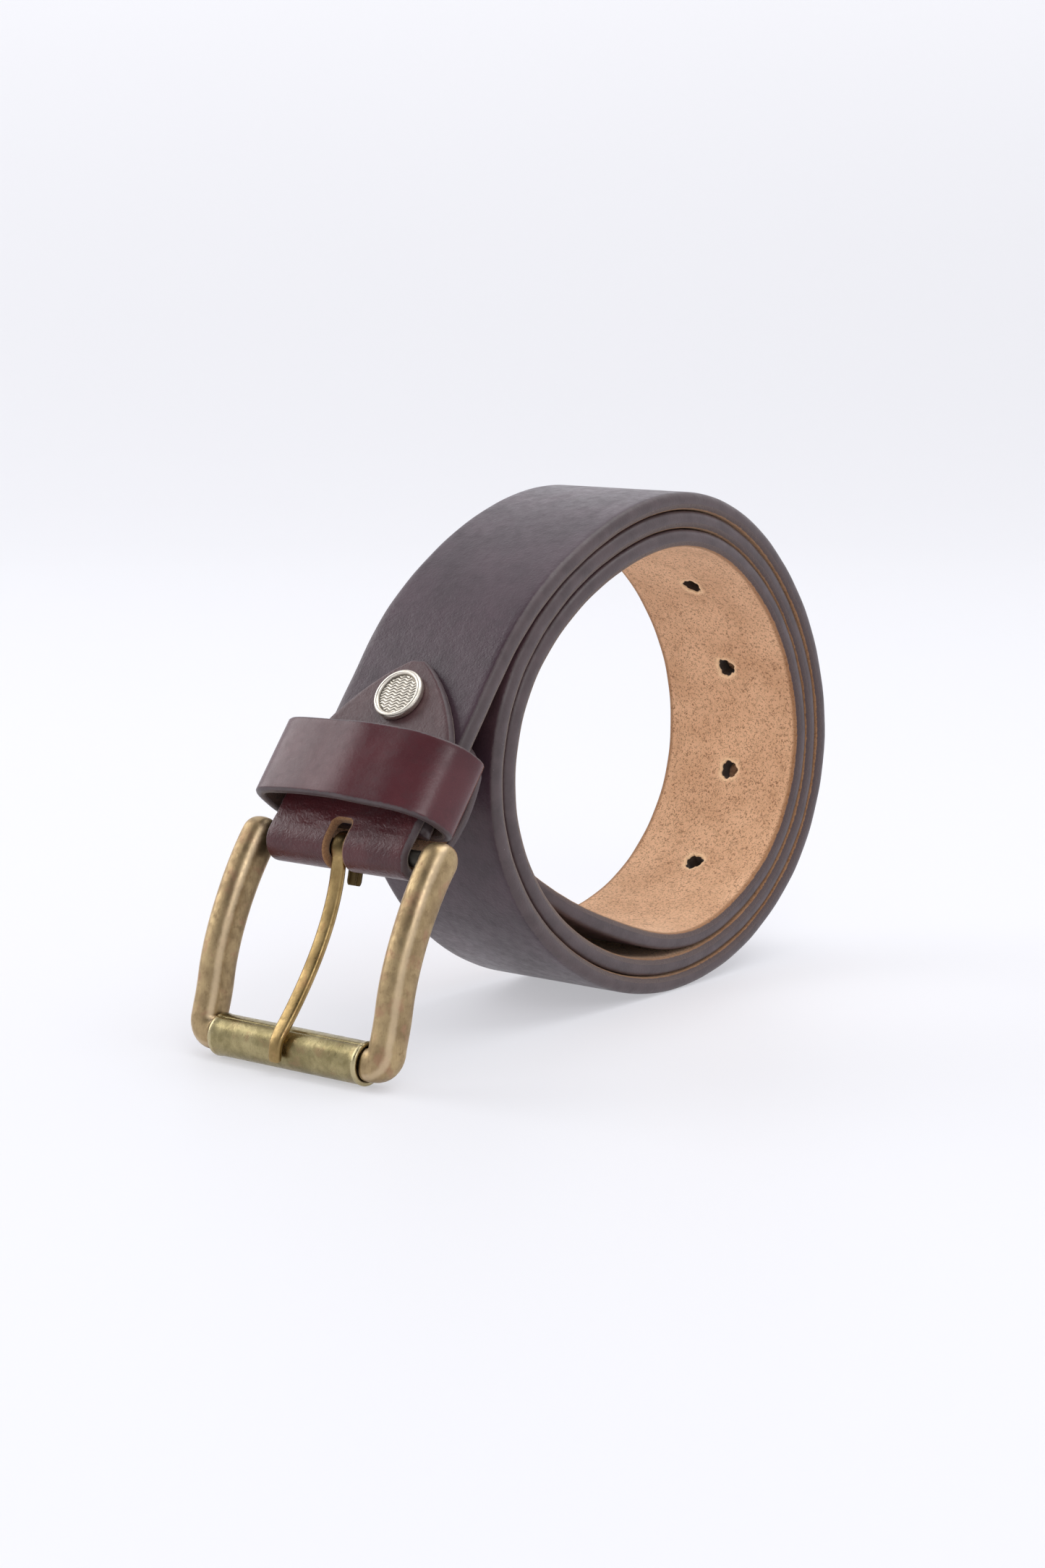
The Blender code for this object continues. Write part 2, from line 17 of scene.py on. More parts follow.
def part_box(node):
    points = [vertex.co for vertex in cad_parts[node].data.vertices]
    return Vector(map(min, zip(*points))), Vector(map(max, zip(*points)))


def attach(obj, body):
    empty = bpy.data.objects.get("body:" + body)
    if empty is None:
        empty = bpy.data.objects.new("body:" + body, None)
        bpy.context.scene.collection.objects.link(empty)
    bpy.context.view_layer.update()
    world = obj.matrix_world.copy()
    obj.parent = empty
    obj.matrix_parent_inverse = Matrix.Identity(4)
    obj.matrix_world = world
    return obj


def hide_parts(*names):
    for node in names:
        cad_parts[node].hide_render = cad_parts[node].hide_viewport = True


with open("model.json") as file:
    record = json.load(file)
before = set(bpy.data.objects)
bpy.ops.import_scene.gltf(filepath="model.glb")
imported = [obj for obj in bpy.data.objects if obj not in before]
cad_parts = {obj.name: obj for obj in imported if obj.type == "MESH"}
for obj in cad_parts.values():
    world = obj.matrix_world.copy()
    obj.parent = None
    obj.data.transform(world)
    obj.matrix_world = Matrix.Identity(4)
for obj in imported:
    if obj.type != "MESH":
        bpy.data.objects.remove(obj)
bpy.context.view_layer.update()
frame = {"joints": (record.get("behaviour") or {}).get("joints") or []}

MM = 0.001
JOINTS = {joint["name"]: joint for joint in frame["joints"]}


def in_mm(values):
    return np.array(values, float) / MM


def middle_of(node):
    low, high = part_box(node)
    return in_mm((low + high) / 2.0)


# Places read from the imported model
ACROSS = np.array([0.0, 1.0, 0.0])
HEEL_BAR = in_mm(JOINTS["frame_swing"]["pos_m"])
FRONT_BAR = in_mm(JOINTS["roller_spin"]["pos_m"])
UP_TAIL = np.array(JOINTS["keeper_slide"]["axis"], float)
OUT_OF_TAIL = np.array([-UP_TAIL[2], 0.0, UP_TAIL[0]])
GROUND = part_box("strap")[0].z / MM

# Strap
STRAP_HALF = in_mm(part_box("strap")[1]).item(1)
STRAP_THICK = 3.8
STRAP_TIP_LENGTH = 42.0
STRAP_END_UP = 5.2
STRAP_NAP = 0.1
STILL_END = 110.0
LOOSE_OVER = 150.0
MOST_DRIFT = 0.4

# Roll: a spiral seen along +Y, its angles counted from +X towards +Z
ROLL_X = HEEL_BAR[0] + 88.1
ROLL_FIRST_RADIUS = 47.94
ROLL_PITCH = 4.15
ROLL_TIP_ANGLE = 195.0
ROLL_LEAVE_ANGLE = 1205.0
ROLL_SAG = ((2, 4.1, -3.5), (3, 0.92, -49.0), (4, 0.65, -10.0))
TIP_LIFT = 3.0
TIP_LIFT_END_ANGLE = 292.0
TAIL_STRAIGHT = 47.0

# Prong holes
HOLE_COUNT = 5
HOLE_RADIUS = 2.2
HOLE_FIRST = 100.2
HOLE_STEP = 26.6
HOLE_CLEAR = 4.0
HOLE_LIP = 0.4

# Chape
GAP = 0.3
CHAPE_THICK = 2.2
FRONT_TONGUE_UP = 44.2
FRONT_TONGUE_LENGTH = 22.0
BACK_TONGUE_UP = 40.0
BACK_TONGUE_LENGTH = 18.0
TONGUE_POINT = 1.5
POCKET_LOW_UP = 2.4
POCKET_TOP_UP = 26.6
POCKET_CLOSE = 3.4
POCKET_BULGE = 2.4
FOLD_RADIUS = 3.6
SLOT_WIDTH = 4.9
SLOT_TOP_UP = 4.2
SLOT_CORNER = 1.1
SLOT_ROOM = 0.4
SLOT_LIP = 0.45
BENT_REACH = 24.0
BENT_FADE = 10.0

# Keeper
KEEPER_THICK = 2.2
KEEPER_LOW_UP = 6.2
KEEPER_WIDTH = 18.0
KEEPER_BACK = -(STRAP_THICK / 2.0 + GAP + 0.2 + KEEPER_THICK / 2.0)
STAPLE_WIRE = 0.35
STAPLE_HALF = 4.5

# Rivet
RIVET_UP = float((middle_of("rivet_cap") - HEEL_BAR) @ UP_TAIL)
RIVET_CAP_RADIUS = 5.85
RIVET_CAP_HEIGHT = 1.6
RIVET_POST_RADIUS = 1.8
RIVET_SEAT = STRAP_THICK / 2.0 + GAP + CHAPE_THICK
WAVE_PITCH = 0.72
WAVE_LENGTH = 1.9
WAVE_HEIGHT = 0.21
WAVE_DEPTH = 0.16
WAVE_TILT = math.radians(-6.0)
DISC_RINGS = 36
DISC_BOWL = 0.10

# Buckle
BAR_RADIUS = 1.75
BAR_HALF = in_mm(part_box("heel_bar")[1]).item(1)
ARM_Y = 24.6
ARM_HALF_WIDE = 3.5
ARM_HALF_DEEP = 3.7
EYE_RADIUS = 4.0
CORNER_RADIUS = 3.7
FRONT_BAR_RADIUS = 3.0
ROLLER_RADIUS = 4.6
ROLLER_WALL = 1.05
ROLLER_HALF = in_mm(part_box("roller")[1]).item(1)
SEAM_TURN = math.radians(250.0)
SEAM_HALF_TURN = 0.03
SEAM_DEPTH = 0.28
PRONG_WIDTH = 3.5
PRONG_THICK = 1.5
PRONG_TIP_SLIMS = 0.18
PRONG_TIP_LENGTH = 7.0
PRONG_CURL_LENGTH = 19.0


# ---- lines


def unit(vectors):
    vectors = np.asarray(vectors, float)
    return vectors / np.linalg.norm(vectors, axis=-1, keepdims=True)


def full_turn(steps):
    return np.linspace(0.0, 2.0 * math.pi, steps, endpoint=False)


def bezier(start, start_handle, end_handle, end, steps):
    """Points along one cubic, the first left out."""
    t = (np.arange(steps) + 1.0)[:, None] / steps
    s = 1.0 - t
    return start * s**3 + start_handle * 3 * s * s * t + end_handle * 3 * s * t * t + end * t**3


def smooth_through(points, per_span):
    """A Catmull-Rom curve through the points."""
    points = np.array(points, float)
    padded = np.vstack([2 * points[0] - points[1], points, 2 * points[-1] - points[-2]])
    made = []
    for i in range(1, len(padded) - 2):
        p0, p1, p2, p3 = padded[i - 1 : i + 3]
        k1 = math.sqrt(np.linalg.norm(p1 - p0)) + 1e-6
        k2 = k1 + math.sqrt(np.linalg.norm(p2 - p1)) + 1e-6
        k3 = k2 + math.sqrt(np.linalg.norm(p3 - p2)) + 1e-6
        t = np.linspace(k1, k2, per_span, endpoint=False)[:, None]

        def between(a, b, low, high):
            return (high - t) / (high - low) * a + (t - low) / (high - low) * b

        a1, a2, a3 = between(p0, p1, 0.0, k1), between(p1, p2, k1, k2), between(p2, p3, k2, k3)
        made.append(between(between(a1, a2, 0.0, k2), between(a2, a3, k1, k3), k1, k2))
    return np.vstack(made + [points[-1:]])


def rounded(line, passes):
    """The line with its corners eased, its two ends kept."""
    line = line.copy()
    for _ in range(passes):
        line[1:-1] = 0.25 * line[:-2] + 0.5 * line[1:-1] + 0.25 * line[2:]
    return line


class Path:
    """A flat curve that a distance along it can be read from. Its normal points to its left."""

    def __init__(self, points):
        self.points = np.array(points, float)
        steps = np.linalg.norm(np.diff(self.points, axis=0), axis=1)
        self.distance = np.concatenate([[0.0], np.cumsum(steps)])
        self.length = self.distance[-1]
        self.tangent = unit(np.gradient(self.points, self.distance, axis=0))

    def at(self, along, what=None):
        table = self.points if what is None else what
        return np.stack([np.interp(along, self.distance, column) for column in table.T], axis=-1)

    def place(self, along, off):
        """The point at a distance along, moved off by its normal. Past an end it goes straight on."""
        tangent = unit(self.at(along, self.tangent))
        normal = np.stack([tangent[..., 1], -tangent[..., 0]], axis=-1)
        beyond = along - np.clip(along, 0.0, self.length)
        return self.at(along) + tangent * beyond[..., None] + normal * np.asarray(off)[..., None]


def tail_point(up, out, y):
    up, out, y = (np.asarray(value, float)[..., None] for value in (up, out, y))
    return HEEL_BAR + UP_TAIL * up + OUT_OF_TAIL * out + ACROSS * y


def ripple(values, seed, *waves):
    """A sum of sines of (wavelength, height), their phases drawn from the seed."""
    phases = np.random.default_rng(seed).uniform(0.0, 2.0 * math.pi, len(waves))
    total = np.zeros_like(np.asarray(values, float))
    for phase, (wavelength, height) in zip(phases, waves):
        total += height * np.sin(2.0 * math.pi * values / wavelength + phase)
    return total


# ---- meshes


def new_piece(name, shape, materials, body, slot, replaces, kinds=None, **values):
    """A piece of the object, from its points in millimetres and its faces, that rides on a body.

    Kinds holds each face's material. Each further value is stored at the points, one number a
    point or one for all, for the materials to read.
    """
    points, faces = shape
    mesh = bpy.data.meshes.new(name)
    mesh.from_pydata((np.asarray(points) * MM).tolist(), [], faces)
    for material in materials:
        mesh.materials.append(material)
    if kinds is not None:
        mesh.polygons.foreach_set("material_index", np.asarray(kinds, np.int32))
    mesh.validate()
    mesh.update()
    mesh.shade_smooth()
    piece = bpy.data.objects.new(name, mesh)
    bpy.context.scene.collection.objects.link(piece)
    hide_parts(replaces)
    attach(piece, body)
    face_outwards(piece.data)
    for key, numbers in values.items():
        attribute = piece.data.attributes.new(key, "FLOAT", "POINT")
        spread = np.zeros(len(points), np.float32) + np.asarray(numbers, np.float32)
        attribute.data.foreach_set("value", spread)


def face_outwards(mesh):
    """Turns every face of a closed mesh outwards."""
    bm = bmesh.new()
    bm.from_mesh(mesh)
    bmesh.ops.recalc_face_normals(bm, faces=bm.faces)
    bm.to_mesh(mesh)
    bm.free()


def flipped(line, first=1.0, second=-1.0):
    """A line of pairs read backwards, the two values of each times first and second."""
    return [(first * a, second * b) for a, b in line[::-1]]


def round_cornered(points, core, radius):
    """Moves points round a window onto the outline a radius away from a core rectangle's sides."""
    inside = np.clip(points, -np.array(core), core)
    return inside + unit(points - inside) * np.asarray(radius).reshape(-1, 1)


class Strip:
    """A strip of leather along s, from -half to half across it, with rounded edges.

    It is laid out flat as (s, y, out) and then bent by a function. Grain is its +out side.
    """

    EDGE_STEPS = 6

    def __init__(self, length, half, thick, rounds, tips, rows, columns, nap=0.0, tip_point=1.0):
        self.half = half
        self.length = length
        self.tips = tips
        self.tip_point = tip_point
        self.high = (thick / 2.0, thick / 2.0 + nap)
        self.points, self.from_edge, self.on_rim = [], [], []
        self.faces, self.kinds = [], []
        self.columns = np.array(columns, float)
        turns = np.linspace(0.0, math.pi / 2.0, self.EDGE_STEPS)
        self.insets = [depth * (1.0 - np.cos(turns)) for depth in rounds]
        self.rises = [high * np.sin(turns) ** 0.9 for high in self.high]
        self.rows = self.make_rows(rows)
        self.skip = set()

    def make_rows(self, rows):
        """Each row is (s, angle round a tip, tip's sign): at a tip the rows follow its curve."""
        start, end = self.tips
        made = []
        first = 3.0 if self.tip_point == 1.0 else 11.0
        turns = np.radians([first, 16.0, 24.0, 32.0, 40.0, 48.0, 56.0, 64.0, 71.0, 78.0, 85.0])
        if start:
            made += [(start, turn, -1.0) for turn in turns]
        made += [(s, math.pi / 2.0, -1.0) for s in rows if start <= s <= self.length - end]
        if end:
            made += [(self.length - end, turn, 1.0) for turn in turns[::-1]]
        return made

    def outline(self, row, inset):
        """(s, y) of the outline at a row, moved in by an inset."""
        s, turn, sign = row
        tip = self.tips[0] if sign < 0.0 else self.tips[1]
        straight = turn == math.pi / 2.0
        reach = 0.0 if straight else (tip - inset) * math.cos(turn) ** self.tip_point
        return s + sign * reach, (self.half - inset) * math.sin(turn) ** self.tip_point

    def add_point(self, s, y, out, inset, rim=0.0):
        self.points.append((s, y, out))
        self.from_edge.append(inset)
        self.on_rim.append(rim)
        return len(self.points) - 1

    def build(self):
        """Numbers of each row's points: loop[row] runs left edge, grain, right edge, flesh."""
        self.loops = []
        for row in self.rows:
            grain, flesh = (
                [(*self.outline(row, inset), sign * rise, inset) for inset, rise in zip(insets, rises)]
                for sign, insets, rises in zip((1.0, -1.0), self.insets, self.rises)
            )
            loop = [self.add_point(s, -y, out, inset) for s, y, out, inset in grain]
            loop += self.add_columns(grain[-1], self.columns)
            loop += [self.add_point(*place) for place in grain[::-1] + flesh[1:]]
            loop += self.add_columns(flesh[-1], self.columns[::-1])
            loop += [self.add_point(s, -y, out, inset) for s, y, out, inset in flesh[:0:-1]]
            self.loops.append(loop)
        self.count = len(self.loops[0])

    def add_columns(self, last, columns):
        s, y, out, inset = last
        scale = y / (self.half - inset)
        return [self.add_point(s, c * scale, out, inset + (self.half - abs(c)) * scale) for c in columns]

    def kind_of(self, k):
        """0 for the grain side and the edges, 1 for the flesh side."""
        flesh_start = 2 * self.EDGE_STEPS + len(self.columns) + 1
        return int(flesh_start <= k <= self.count - 2)

    def add_face(self, face, kind):
        self.faces.append(tuple(face))
        self.kinds.append(kind)

    def skin(self):
        for i in range(len(self.loops) - 1):
            a, b = self.loops[i], self.loops[i + 1]
            for k in range(self.count):
                if (i, k) in self.skip:
                    continue
                m = (k + 1) % self.count
                self.add_face((a[k], a[m], b[m], b[k]), self.kind_of(k))
        self.cap(self.loops[0], self.tips[0], False)
        self.cap(self.loops[-1], self.tips[1], True)

    def cap(self, loop, tip, far):
        """Closes an end: a flat cut, or the two sides of a tip zipped together."""
        if not tip:
            self.add_face(loop if far else loop[::-1], 0)
            return
        n = self.EDGE_STEPS
        c = len(self.columns)
        grain = loop[: 2 * n + c]
        flesh = [loop[0]] + loop[:-(n + c) : -1] + loop[-(n + c) : 2 * n + c - 2 : -1]
        for half, kind, turned in ((grain, 0, far), (flesh, 1, not far)):
            for j in range(n - 1):
                if j == n - 2:
                    face = half[j : len(half) - j]
                else:
                    face = [half[j], half[j + 1], half[-2 - j], half[-1 - j]]
                self.add_face(face if turned else face[::-1], kind if j > 1 else 0)

    def window(self, s0, half_s, half_y, core, radius, lip, rough, lip_kinds):
        """Cuts a hole with eased lips through the strip at s0, round a core of half sizes (s, y).

        Its wall takes the strip's third material. Rough and lip_kinds are for (grain, flesh).
        """
        rows = [i for i, row in enumerate(self.rows) if abs(row[0] - s0) <= half_s + 1e-6]
        n = self.EDGE_STEPS
        chosen = [k for k, y in enumerate(self.columns) if abs(y) <= half_y + 1e-6]
        grain_columns = [n + k for k in chosen]
        total = len(self.columns)
        flesh_columns = [3 * n - 1 + total + (total - 1 - k) for k in chosen]
        rims = []
        for side, columns in enumerate((grain_columns, flesh_columns)):
            low = min(columns)
            for i in rows[:-1]:
                for k in range(low, max(columns)):
                    self.skip.add((i, k))
            border = [self.loops[rows[0]][k] for k in columns]
            border += [self.loops[i][columns[-1]] for i in rows[1:]]
            border += [self.loops[rows[-1]][k] for k in columns[-2::-1]]
            border += [self.loops[i][columns[0]] for i in rows[-2:0:-1]]
            flat = np.array([self.points[v][:2] for v in border]) - [s0, 0.0]
            turns = np.arctan2(flat[:, 1], flat[:, 0])
            uneven = ripple(turns, int(s0), (2.1, 0.6), (0.9, 0.5), (0.45, 0.3))
            ragged = radius * (1.0 + rough[side] * uneven)
            inner = round_cornered(flat, core, ragged)
            grown = round_cornered(flat, core, ragged + lip)
            sign = 1.0 if side == 0 else -1.0
            rings = [border]
            for share, rim in ((0.4, 0.0), (0.75, 0.35)):
                ring = flat + (grown - flat) * share
                rings.append(self.add_ring(ring, s0, sign * self.high[side], rim))
            for turn in np.radians([0.0, 30.0, 60.0, 90.0]):
                ring = grown + (inner - grown) * math.sin(turn)
                fall = lip * (1.0 - math.cos(turn))
                rings.append(self.add_ring(ring, s0, sign * (self.high[side] - fall), 1.0))
            for number, (before, after) in enumerate(zip(rings, rings[1:])):
                kind = side if number < 3 else lip_kinds[side]
                self.join_rings(before, after, kind, side == 1)
            rims.append(rings[-1])
        self.join_rings(*rims, 2, False)

    def add_ring(self, ring, s0, out, rim):
        return [self.add_point(s0 + s, y, out, self.half, rim) for s, y in ring]

    def join_rings(self, outer, inner, kind, turned):
        count = len(outer)
        for i in range(count):
            j = (i + 1) % count
            face = (outer[i], outer[j], inner[j], inner[i])
            self.add_face(face[::-1] if turned else face, kind)


def strip_piece(name, strip, bend, materials, body, slot, replaces, **values):
    shape = bend(*np.array(strip.points).T), strip.faces
    values = {"from_edge": strip.from_edge, "rim": strip.on_rim, **values}
    new_piece(name, shape, materials, body, slot, replaces, strip.kinds, **values)


def tube(rings, closed_ends=True):
    """(points, faces) of a skin over rings of equal count."""
    rings = np.asarray(rings)
    rows, count = rings.shape[:2]
    faces = []
    for i in range(rows - 1):
        for j in range(count):
            k = (j + 1) % count
            faces.append((i * count + j, i * count + k, (i + 1) * count + k, (i + 1) * count + j))
    if closed_ends:
        faces.append(tuple(range(count))[::-1])
        faces.append(tuple(range((rows - 1) * count, rows * count)))
    return rings.reshape(-1, 3), faces


def turned_rings(profile, centre, axis, steps):
    """Rings of a turned piece, from a profile of (radius, height)."""
    side = np.cross(axis, ACROSS)
    side = unit(side) if side.any() else np.array([1.0, 0.0, 0.0])
    other = np.cross(axis, side)
    turns = full_turn(steps)
    circle = np.cos(turns)[:, None] * side + np.sin(turns)[:, None] * other
    return np.array([centre + axis * height + circle * radius for radius, height in profile])


# ---- materials


def link(tree, value, socket):
    """Links an output to a socket, or sets the socket to a constant."""
    if isinstance(value, bpy.types.NodeSocket):
        tree.links.new(value, socket)
    else:
        socket.default_value = value


def add_node(tree, kind, **inputs):
    """A shader node whose inputs are named here with _ for each space."""
    node = tree.nodes.new("ShaderNode" + kind)
    for name, value in inputs.items():
        link(tree, value, node.inputs[name.replace("_", " ")])
    return node


def smooth_step(tree, value, low, high, to_low, to_high):
    """A smooth step from to_low at low to to_high at high."""
    node = add_node(tree, "MapRange", From_Min=low, From_Max=high, To_Min=to_low, To_Max=to_high)
    node.interpolation_type = "SMOOTHSTEP"
    link(tree, value, node.inputs["Value"])
    return node.outputs["Result"]


class Nodes:
    """Short ways to write a node material."""

    def __init__(self, name, metallic, **constants):
        self.material = bpy.data.materials.new(name)
        self.material.use_nodes = True
        self.tree = self.material.node_tree
        self.shader = self.tree.nodes["Principled BSDF"]
        self.set(Metallic=metallic, **constants)
        self.place = add_node(self.tree, "TexCoord").outputs["Object"]

    def set(self, **inputs):
        for name, value in inputs.items():
            link(self.tree, value, self.shader.inputs[name.replace("_", " ")])

    def attribute(self, name):
        node = add_node(self.tree, "Attribute")
        node.attribute_name = name
        return node.outputs["Fac"]

    def stretched(self, scale):
        return add_node(self.tree, "Mapping", Vector=self.place, Scale=scale).outputs["Vector"]

    def noise(self, size, detail=4.0, roughness=0.55, distortion=0.0, vector=None, offset=0.0):
        """Noise whose features are about size millimetres."""
        inputs = {"Vector": vector or self.place, "Scale": 1.0 / (size * MM)}
        inputs.update(Detail=detail, Roughness=roughness, Distortion=distortion)
        node = add_node(self.tree, "TexNoise", **inputs)
        node.noise_dimensions = "4D"
        node.inputs["W"].default_value = offset
        return node.outputs["Fac"]

    def cells(self, size):
        """How far it is to the middle of a cell, in cells of about size millimetres."""
        node = add_node(self.tree, "TexVoronoi", Vector=self.place, Scale=1.0 / (size * MM))
        return node.outputs["Distance"]

    def math(self, operation, a, b):
        node = add_node(self.tree, "Math")
        node.operation = operation
        link(self.tree, a, node.inputs[0])
        link(self.tree, b, node.inputs[1])
        return node.outputs[0]

    def total(self, *parts):
        """The sum of two values, each times its weight."""
        first, second = (self.math("MULTIPLY", value, weight) for value, weight in parts)
        return self.math("ADD", first, second)

    def unevenness(self, value, height):
        """A value between 0 and 1, moved to lie round 0 and made height tall."""
        return self.math("MULTIPLY", self.math("SUBTRACT", value, 0.5), height)

    def ramp(self, value, low, high, to_low=0.0, to_high=1.0):
        return smooth_step(self.tree, value, low, high, to_low, to_high)

    def mix(self, share, a, b):
        node = add_node(self.tree, "Mix", Factor=share)
        node.data_type = "RGBA"
        colours = [socket for socket in node.inputs if socket.type == "RGBA"]
        for value, socket in zip((a, b), colours):
            constant = not isinstance(value, bpy.types.NodeSocket)
            link(self.tree, (*value, 1.0) if constant else value, socket)
        return [socket for socket in node.outputs if socket.type == "RGBA"][0]

    def over(self, colour, other, value, low, high, share=1.0):
        """The colour, gone over with another by up to a share as a value rises from low to high."""
        return self.mix(self.ramp(value, low, high, 0.0, share), colour, other)

    def bump(self, height, strength, distance, below=None):
        inputs = {"Height": height, "Strength": strength, "Distance": distance * MM}
        if below is not None:
            inputs["Normal"] = below
        return add_node(self.tree, "Bump", **inputs).outputs["Normal"]

    def finish(self, colour, roughness, normal=None):
        self.set(Base_Color=colour, Roughness=roughness)
        if normal is not None:
            self.set(Normal=normal)
        return self.material


def shaded(colour, times, plus=0.0):
    return [min(1.0, channel * times + plus) for channel in colour]


def grain_leather(name, deep, lit, edge, gloss, edge_gloss, relief, edge_band, warm=None):
    """The dyed grain side, with painted edges over the first edge_band millimetres.

    Where the leather is bent, given by the attribute bent, it takes the warm colours.
    """
    m = Nodes(name, 0.0, Specular_IOR_Level=0.36, Coat_Weight=0.2, Coat_Roughness=0.3)
    clouds = m.ramp(m.noise(14.0, 3.0), 0.3, 0.7)
    mottle = m.noise(2.2, 5.0, 0.65, offset=3.0)
    creases = m.noise(0.9, 3.0, 0.6, 1.2, offset=7.0)
    flecks = m.noise(0.7, 2.0, 0.5, offset=12.0)
    nicks = m.noise(0.55, 2.0, 0.5, offset=33.0)
    colour = m.mix(clouds, deep, lit)
    if warm is not None:
        colour = m.mix(m.attribute("bent"), colour, m.mix(clouds, *warm))
    colour = m.over(colour, shaded(deep, 0.55), mottle, 0.45, 0.75, 0.35)
    colour = m.over(colour, shaded(lit, 2.6, 0.03), flecks, 0.74, 0.80, 0.35)
    from_edge = m.math("ADD", m.attribute("from_edge"), m.unevenness(m.noise(0.8, 3.0, offset=5.0), 0.9))
    on_edge = m.ramp(from_edge, edge_band, edge_band + 0.35, 1.0, 0.0)
    paint = m.over(edge, shaded(edge, 0.72), m.noise(5.0, 4.0, offset=20.0), 0.35, 0.7)
    paint = m.over(paint, shaded(edge, 2.4, 0.05), nicks, 0.735, 0.765, 0.7)
    colour = m.mix(on_edge, colour, paint)
    shine = m.ramp(mottle, 0.25, 0.8, gloss - 0.07, gloss + 0.12)
    edge_shine = m.ramp(m.noise(2.0, 3.0, offset=9.0), 0.3, 0.7, edge_gloss - 0.06, edge_gloss + 0.1)
    roughness = m.total((shine, m.math("SUBTRACT", 1.0, on_edge)), (edge_shine, on_edge))
    fine = m.bump(m.total((m.cells(0.55), 0.5), (creases, 0.8)), relief, 0.11)
    normal = m.bump(mottle, relief * 0.7, 0.35, fine)
    if warm is not None:
        wrinkles = m.math("MULTIPLY", m.noise(1.3, 3.0, 0.55, 1.4, offset=41.0), m.attribute("bent"))
        normal = m.bump(wrinkles, 0.55, 0.4, normal)
    return m.finish(colour, roughness, normal)


def flesh_leather(name, base, light, dark, near_edge_tone, paint, ragged):
    """The napped flesh side: suede dense with dark specks, darker towards its ragged painted edge."""
    m = Nodes(name, 0.0, Specular_IOR_Level=0.2, Sheen_Weight=0.3, Sheen_Roughness=0.5)
    m.set(Sheen_Tint=(1.0, 0.85, 0.68, 1.0))
    fibres = m.noise(0.5, 5.0, 0.75, 0.8, offset=2.0)
    specks = m.noise(0.5, 3.0, 0.65, 1.2, offset=6.0)
    blotches = m.noise(1.7, 4.0, 0.7, 1.0, offset=16.0)
    colour = m.over(base, light, m.noise(11.0, 3.0), 0.3, 0.7)
    colour = m.over(colour, light, fibres, 0.5, 0.68, 0.65)
    colour = m.over(colour, dark, blotches, 0.52, 0.72, 0.55)
    colour = m.over(colour, dark, specks, 0.52, 0.61, 0.9)
    from_edge = m.attribute("from_edge")
    colour = m.mix(m.ramp(from_edge, 0.9, 2.6, 0.75, 0.0), colour, near_edge_tone)
    fuzz = m.math("MULTIPLY", m.attribute("rim"), m.ramp(fibres, 0.3, 0.6, 0.35, 1.0))
    colour = m.mix(fuzz, colour, shaded(light, 1.35))
    uneven = m.unevenness(m.noise(0.7, 4.0, 0.7, offset=11.0), ragged)
    edge = m.ramp(m.math("ADD", from_edge, uneven), 0.55, 0.70, 1.0, 0.0)
    colour = m.mix(edge, colour, paint)
    height = m.total((fibres, 1.0), (specks, -0.7))
    return m.finish(colour, m.ramp(edge, 0.0, 1.0, 0.92, 0.5), m.bump(height, 0.8, 0.25))


def raw_leather(name, base, dark):
    """A cut through the thickness of the hide."""
    m = Nodes(name, 0.0, Specular_IOR_Level=0.25, Sheen_Weight=0.2, Sheen_Roughness=0.5)
    fibres = m.noise(0.35, 5.0, 0.7, 0.8)
    colour = m.over(base, dark, fibres, 0.35, 0.7)
    return m.finish(colour, 0.85, m.bump(fibres, 0.6, 0.12))


def old_brass(name, bright, deep, rubbed, gloss):
    """Antique brass: a dark patina, rubbed brighter on the ridges, with brushed streaks, and painted
    shade, near black, where the point value falls below zero.
    """
    m = Nodes(name, 1.0)
    blotches = m.noise(1.6, 5.0, 0.65, 0.4, offset=4.0)
    streaks = m.noise(0.35, 3.0, 0.6, vector=m.stretched((1.0, 1.0, 0.12)), offset=8.0)
    coppery = [channel * times for channel, times in zip(deep, (1.35, 1.1, 1.25))]
    colour = m.over(bright, deep, m.noise(6.0, 4.0, 0.6), 0.32, 0.68)
    colour = m.over(colour, deep, blotches, 0.50, 0.70, 0.7)
    colour = m.over(colour, shaded(deep, 0.55), streaks, 0.5, 0.75, 0.25)
    colour = m.over(colour, coppery, m.noise(4.0, 3.0, 0.6, 0.5, offset=14.0), 0.52, 0.70, 0.65)
    ridge = m.attribute("ridge")
    # Painted shade: below zero, as on the prong's curl in the shade of the chape's slot, the brass turns
    # near black.
    colour = m.mix(m.ramp(ridge, -1.0, -0.1, 0.9, 0.0), colour, shaded(deep, 0.2))
    worn = m.math("ADD", ridge, m.unevenness(blotches, 0.9))
    colour = m.over(colour, rubbed, worn, 0.35, 1.0, 0.6)
    smears = m.ramp(blotches, 0.3, 0.75, gloss - 0.08, gloss + 0.14)
    roughness = m.math("ADD", smears, m.ramp(streaks, 0.3, 0.8, -0.03, 0.05))
    height = m.total((blotches, 0.7), (streaks, 0.35))
    return m.finish(colour, roughness, m.bump(height, 0.35, 0.09))


def plated(name, bright, dark, gloss):
    """Plated metal, darkened by painted shade in its hollows."""
    m = Nodes(name, 1.0)
    tarnish = m.noise(1.3, 4.0, 0.6)
    colour = m.over(bright, dark, tarnish, 0.45, 0.8, 0.25)
    # Painted shade: dark where the point value marks a hollow.
    colour = m.over(colour, dark, m.attribute("hollow"), 0.0, 1.0, 0.9)
    roughness = m.ramp(tarnish, 0.3, 0.8, gloss - 0.05, gloss + 0.15)
    return m.finish(colour, roughness, m.bump(m.noise(0.25, 3.0, 0.6, offset=3.0), 0.08, 0.02))


# ---- strap


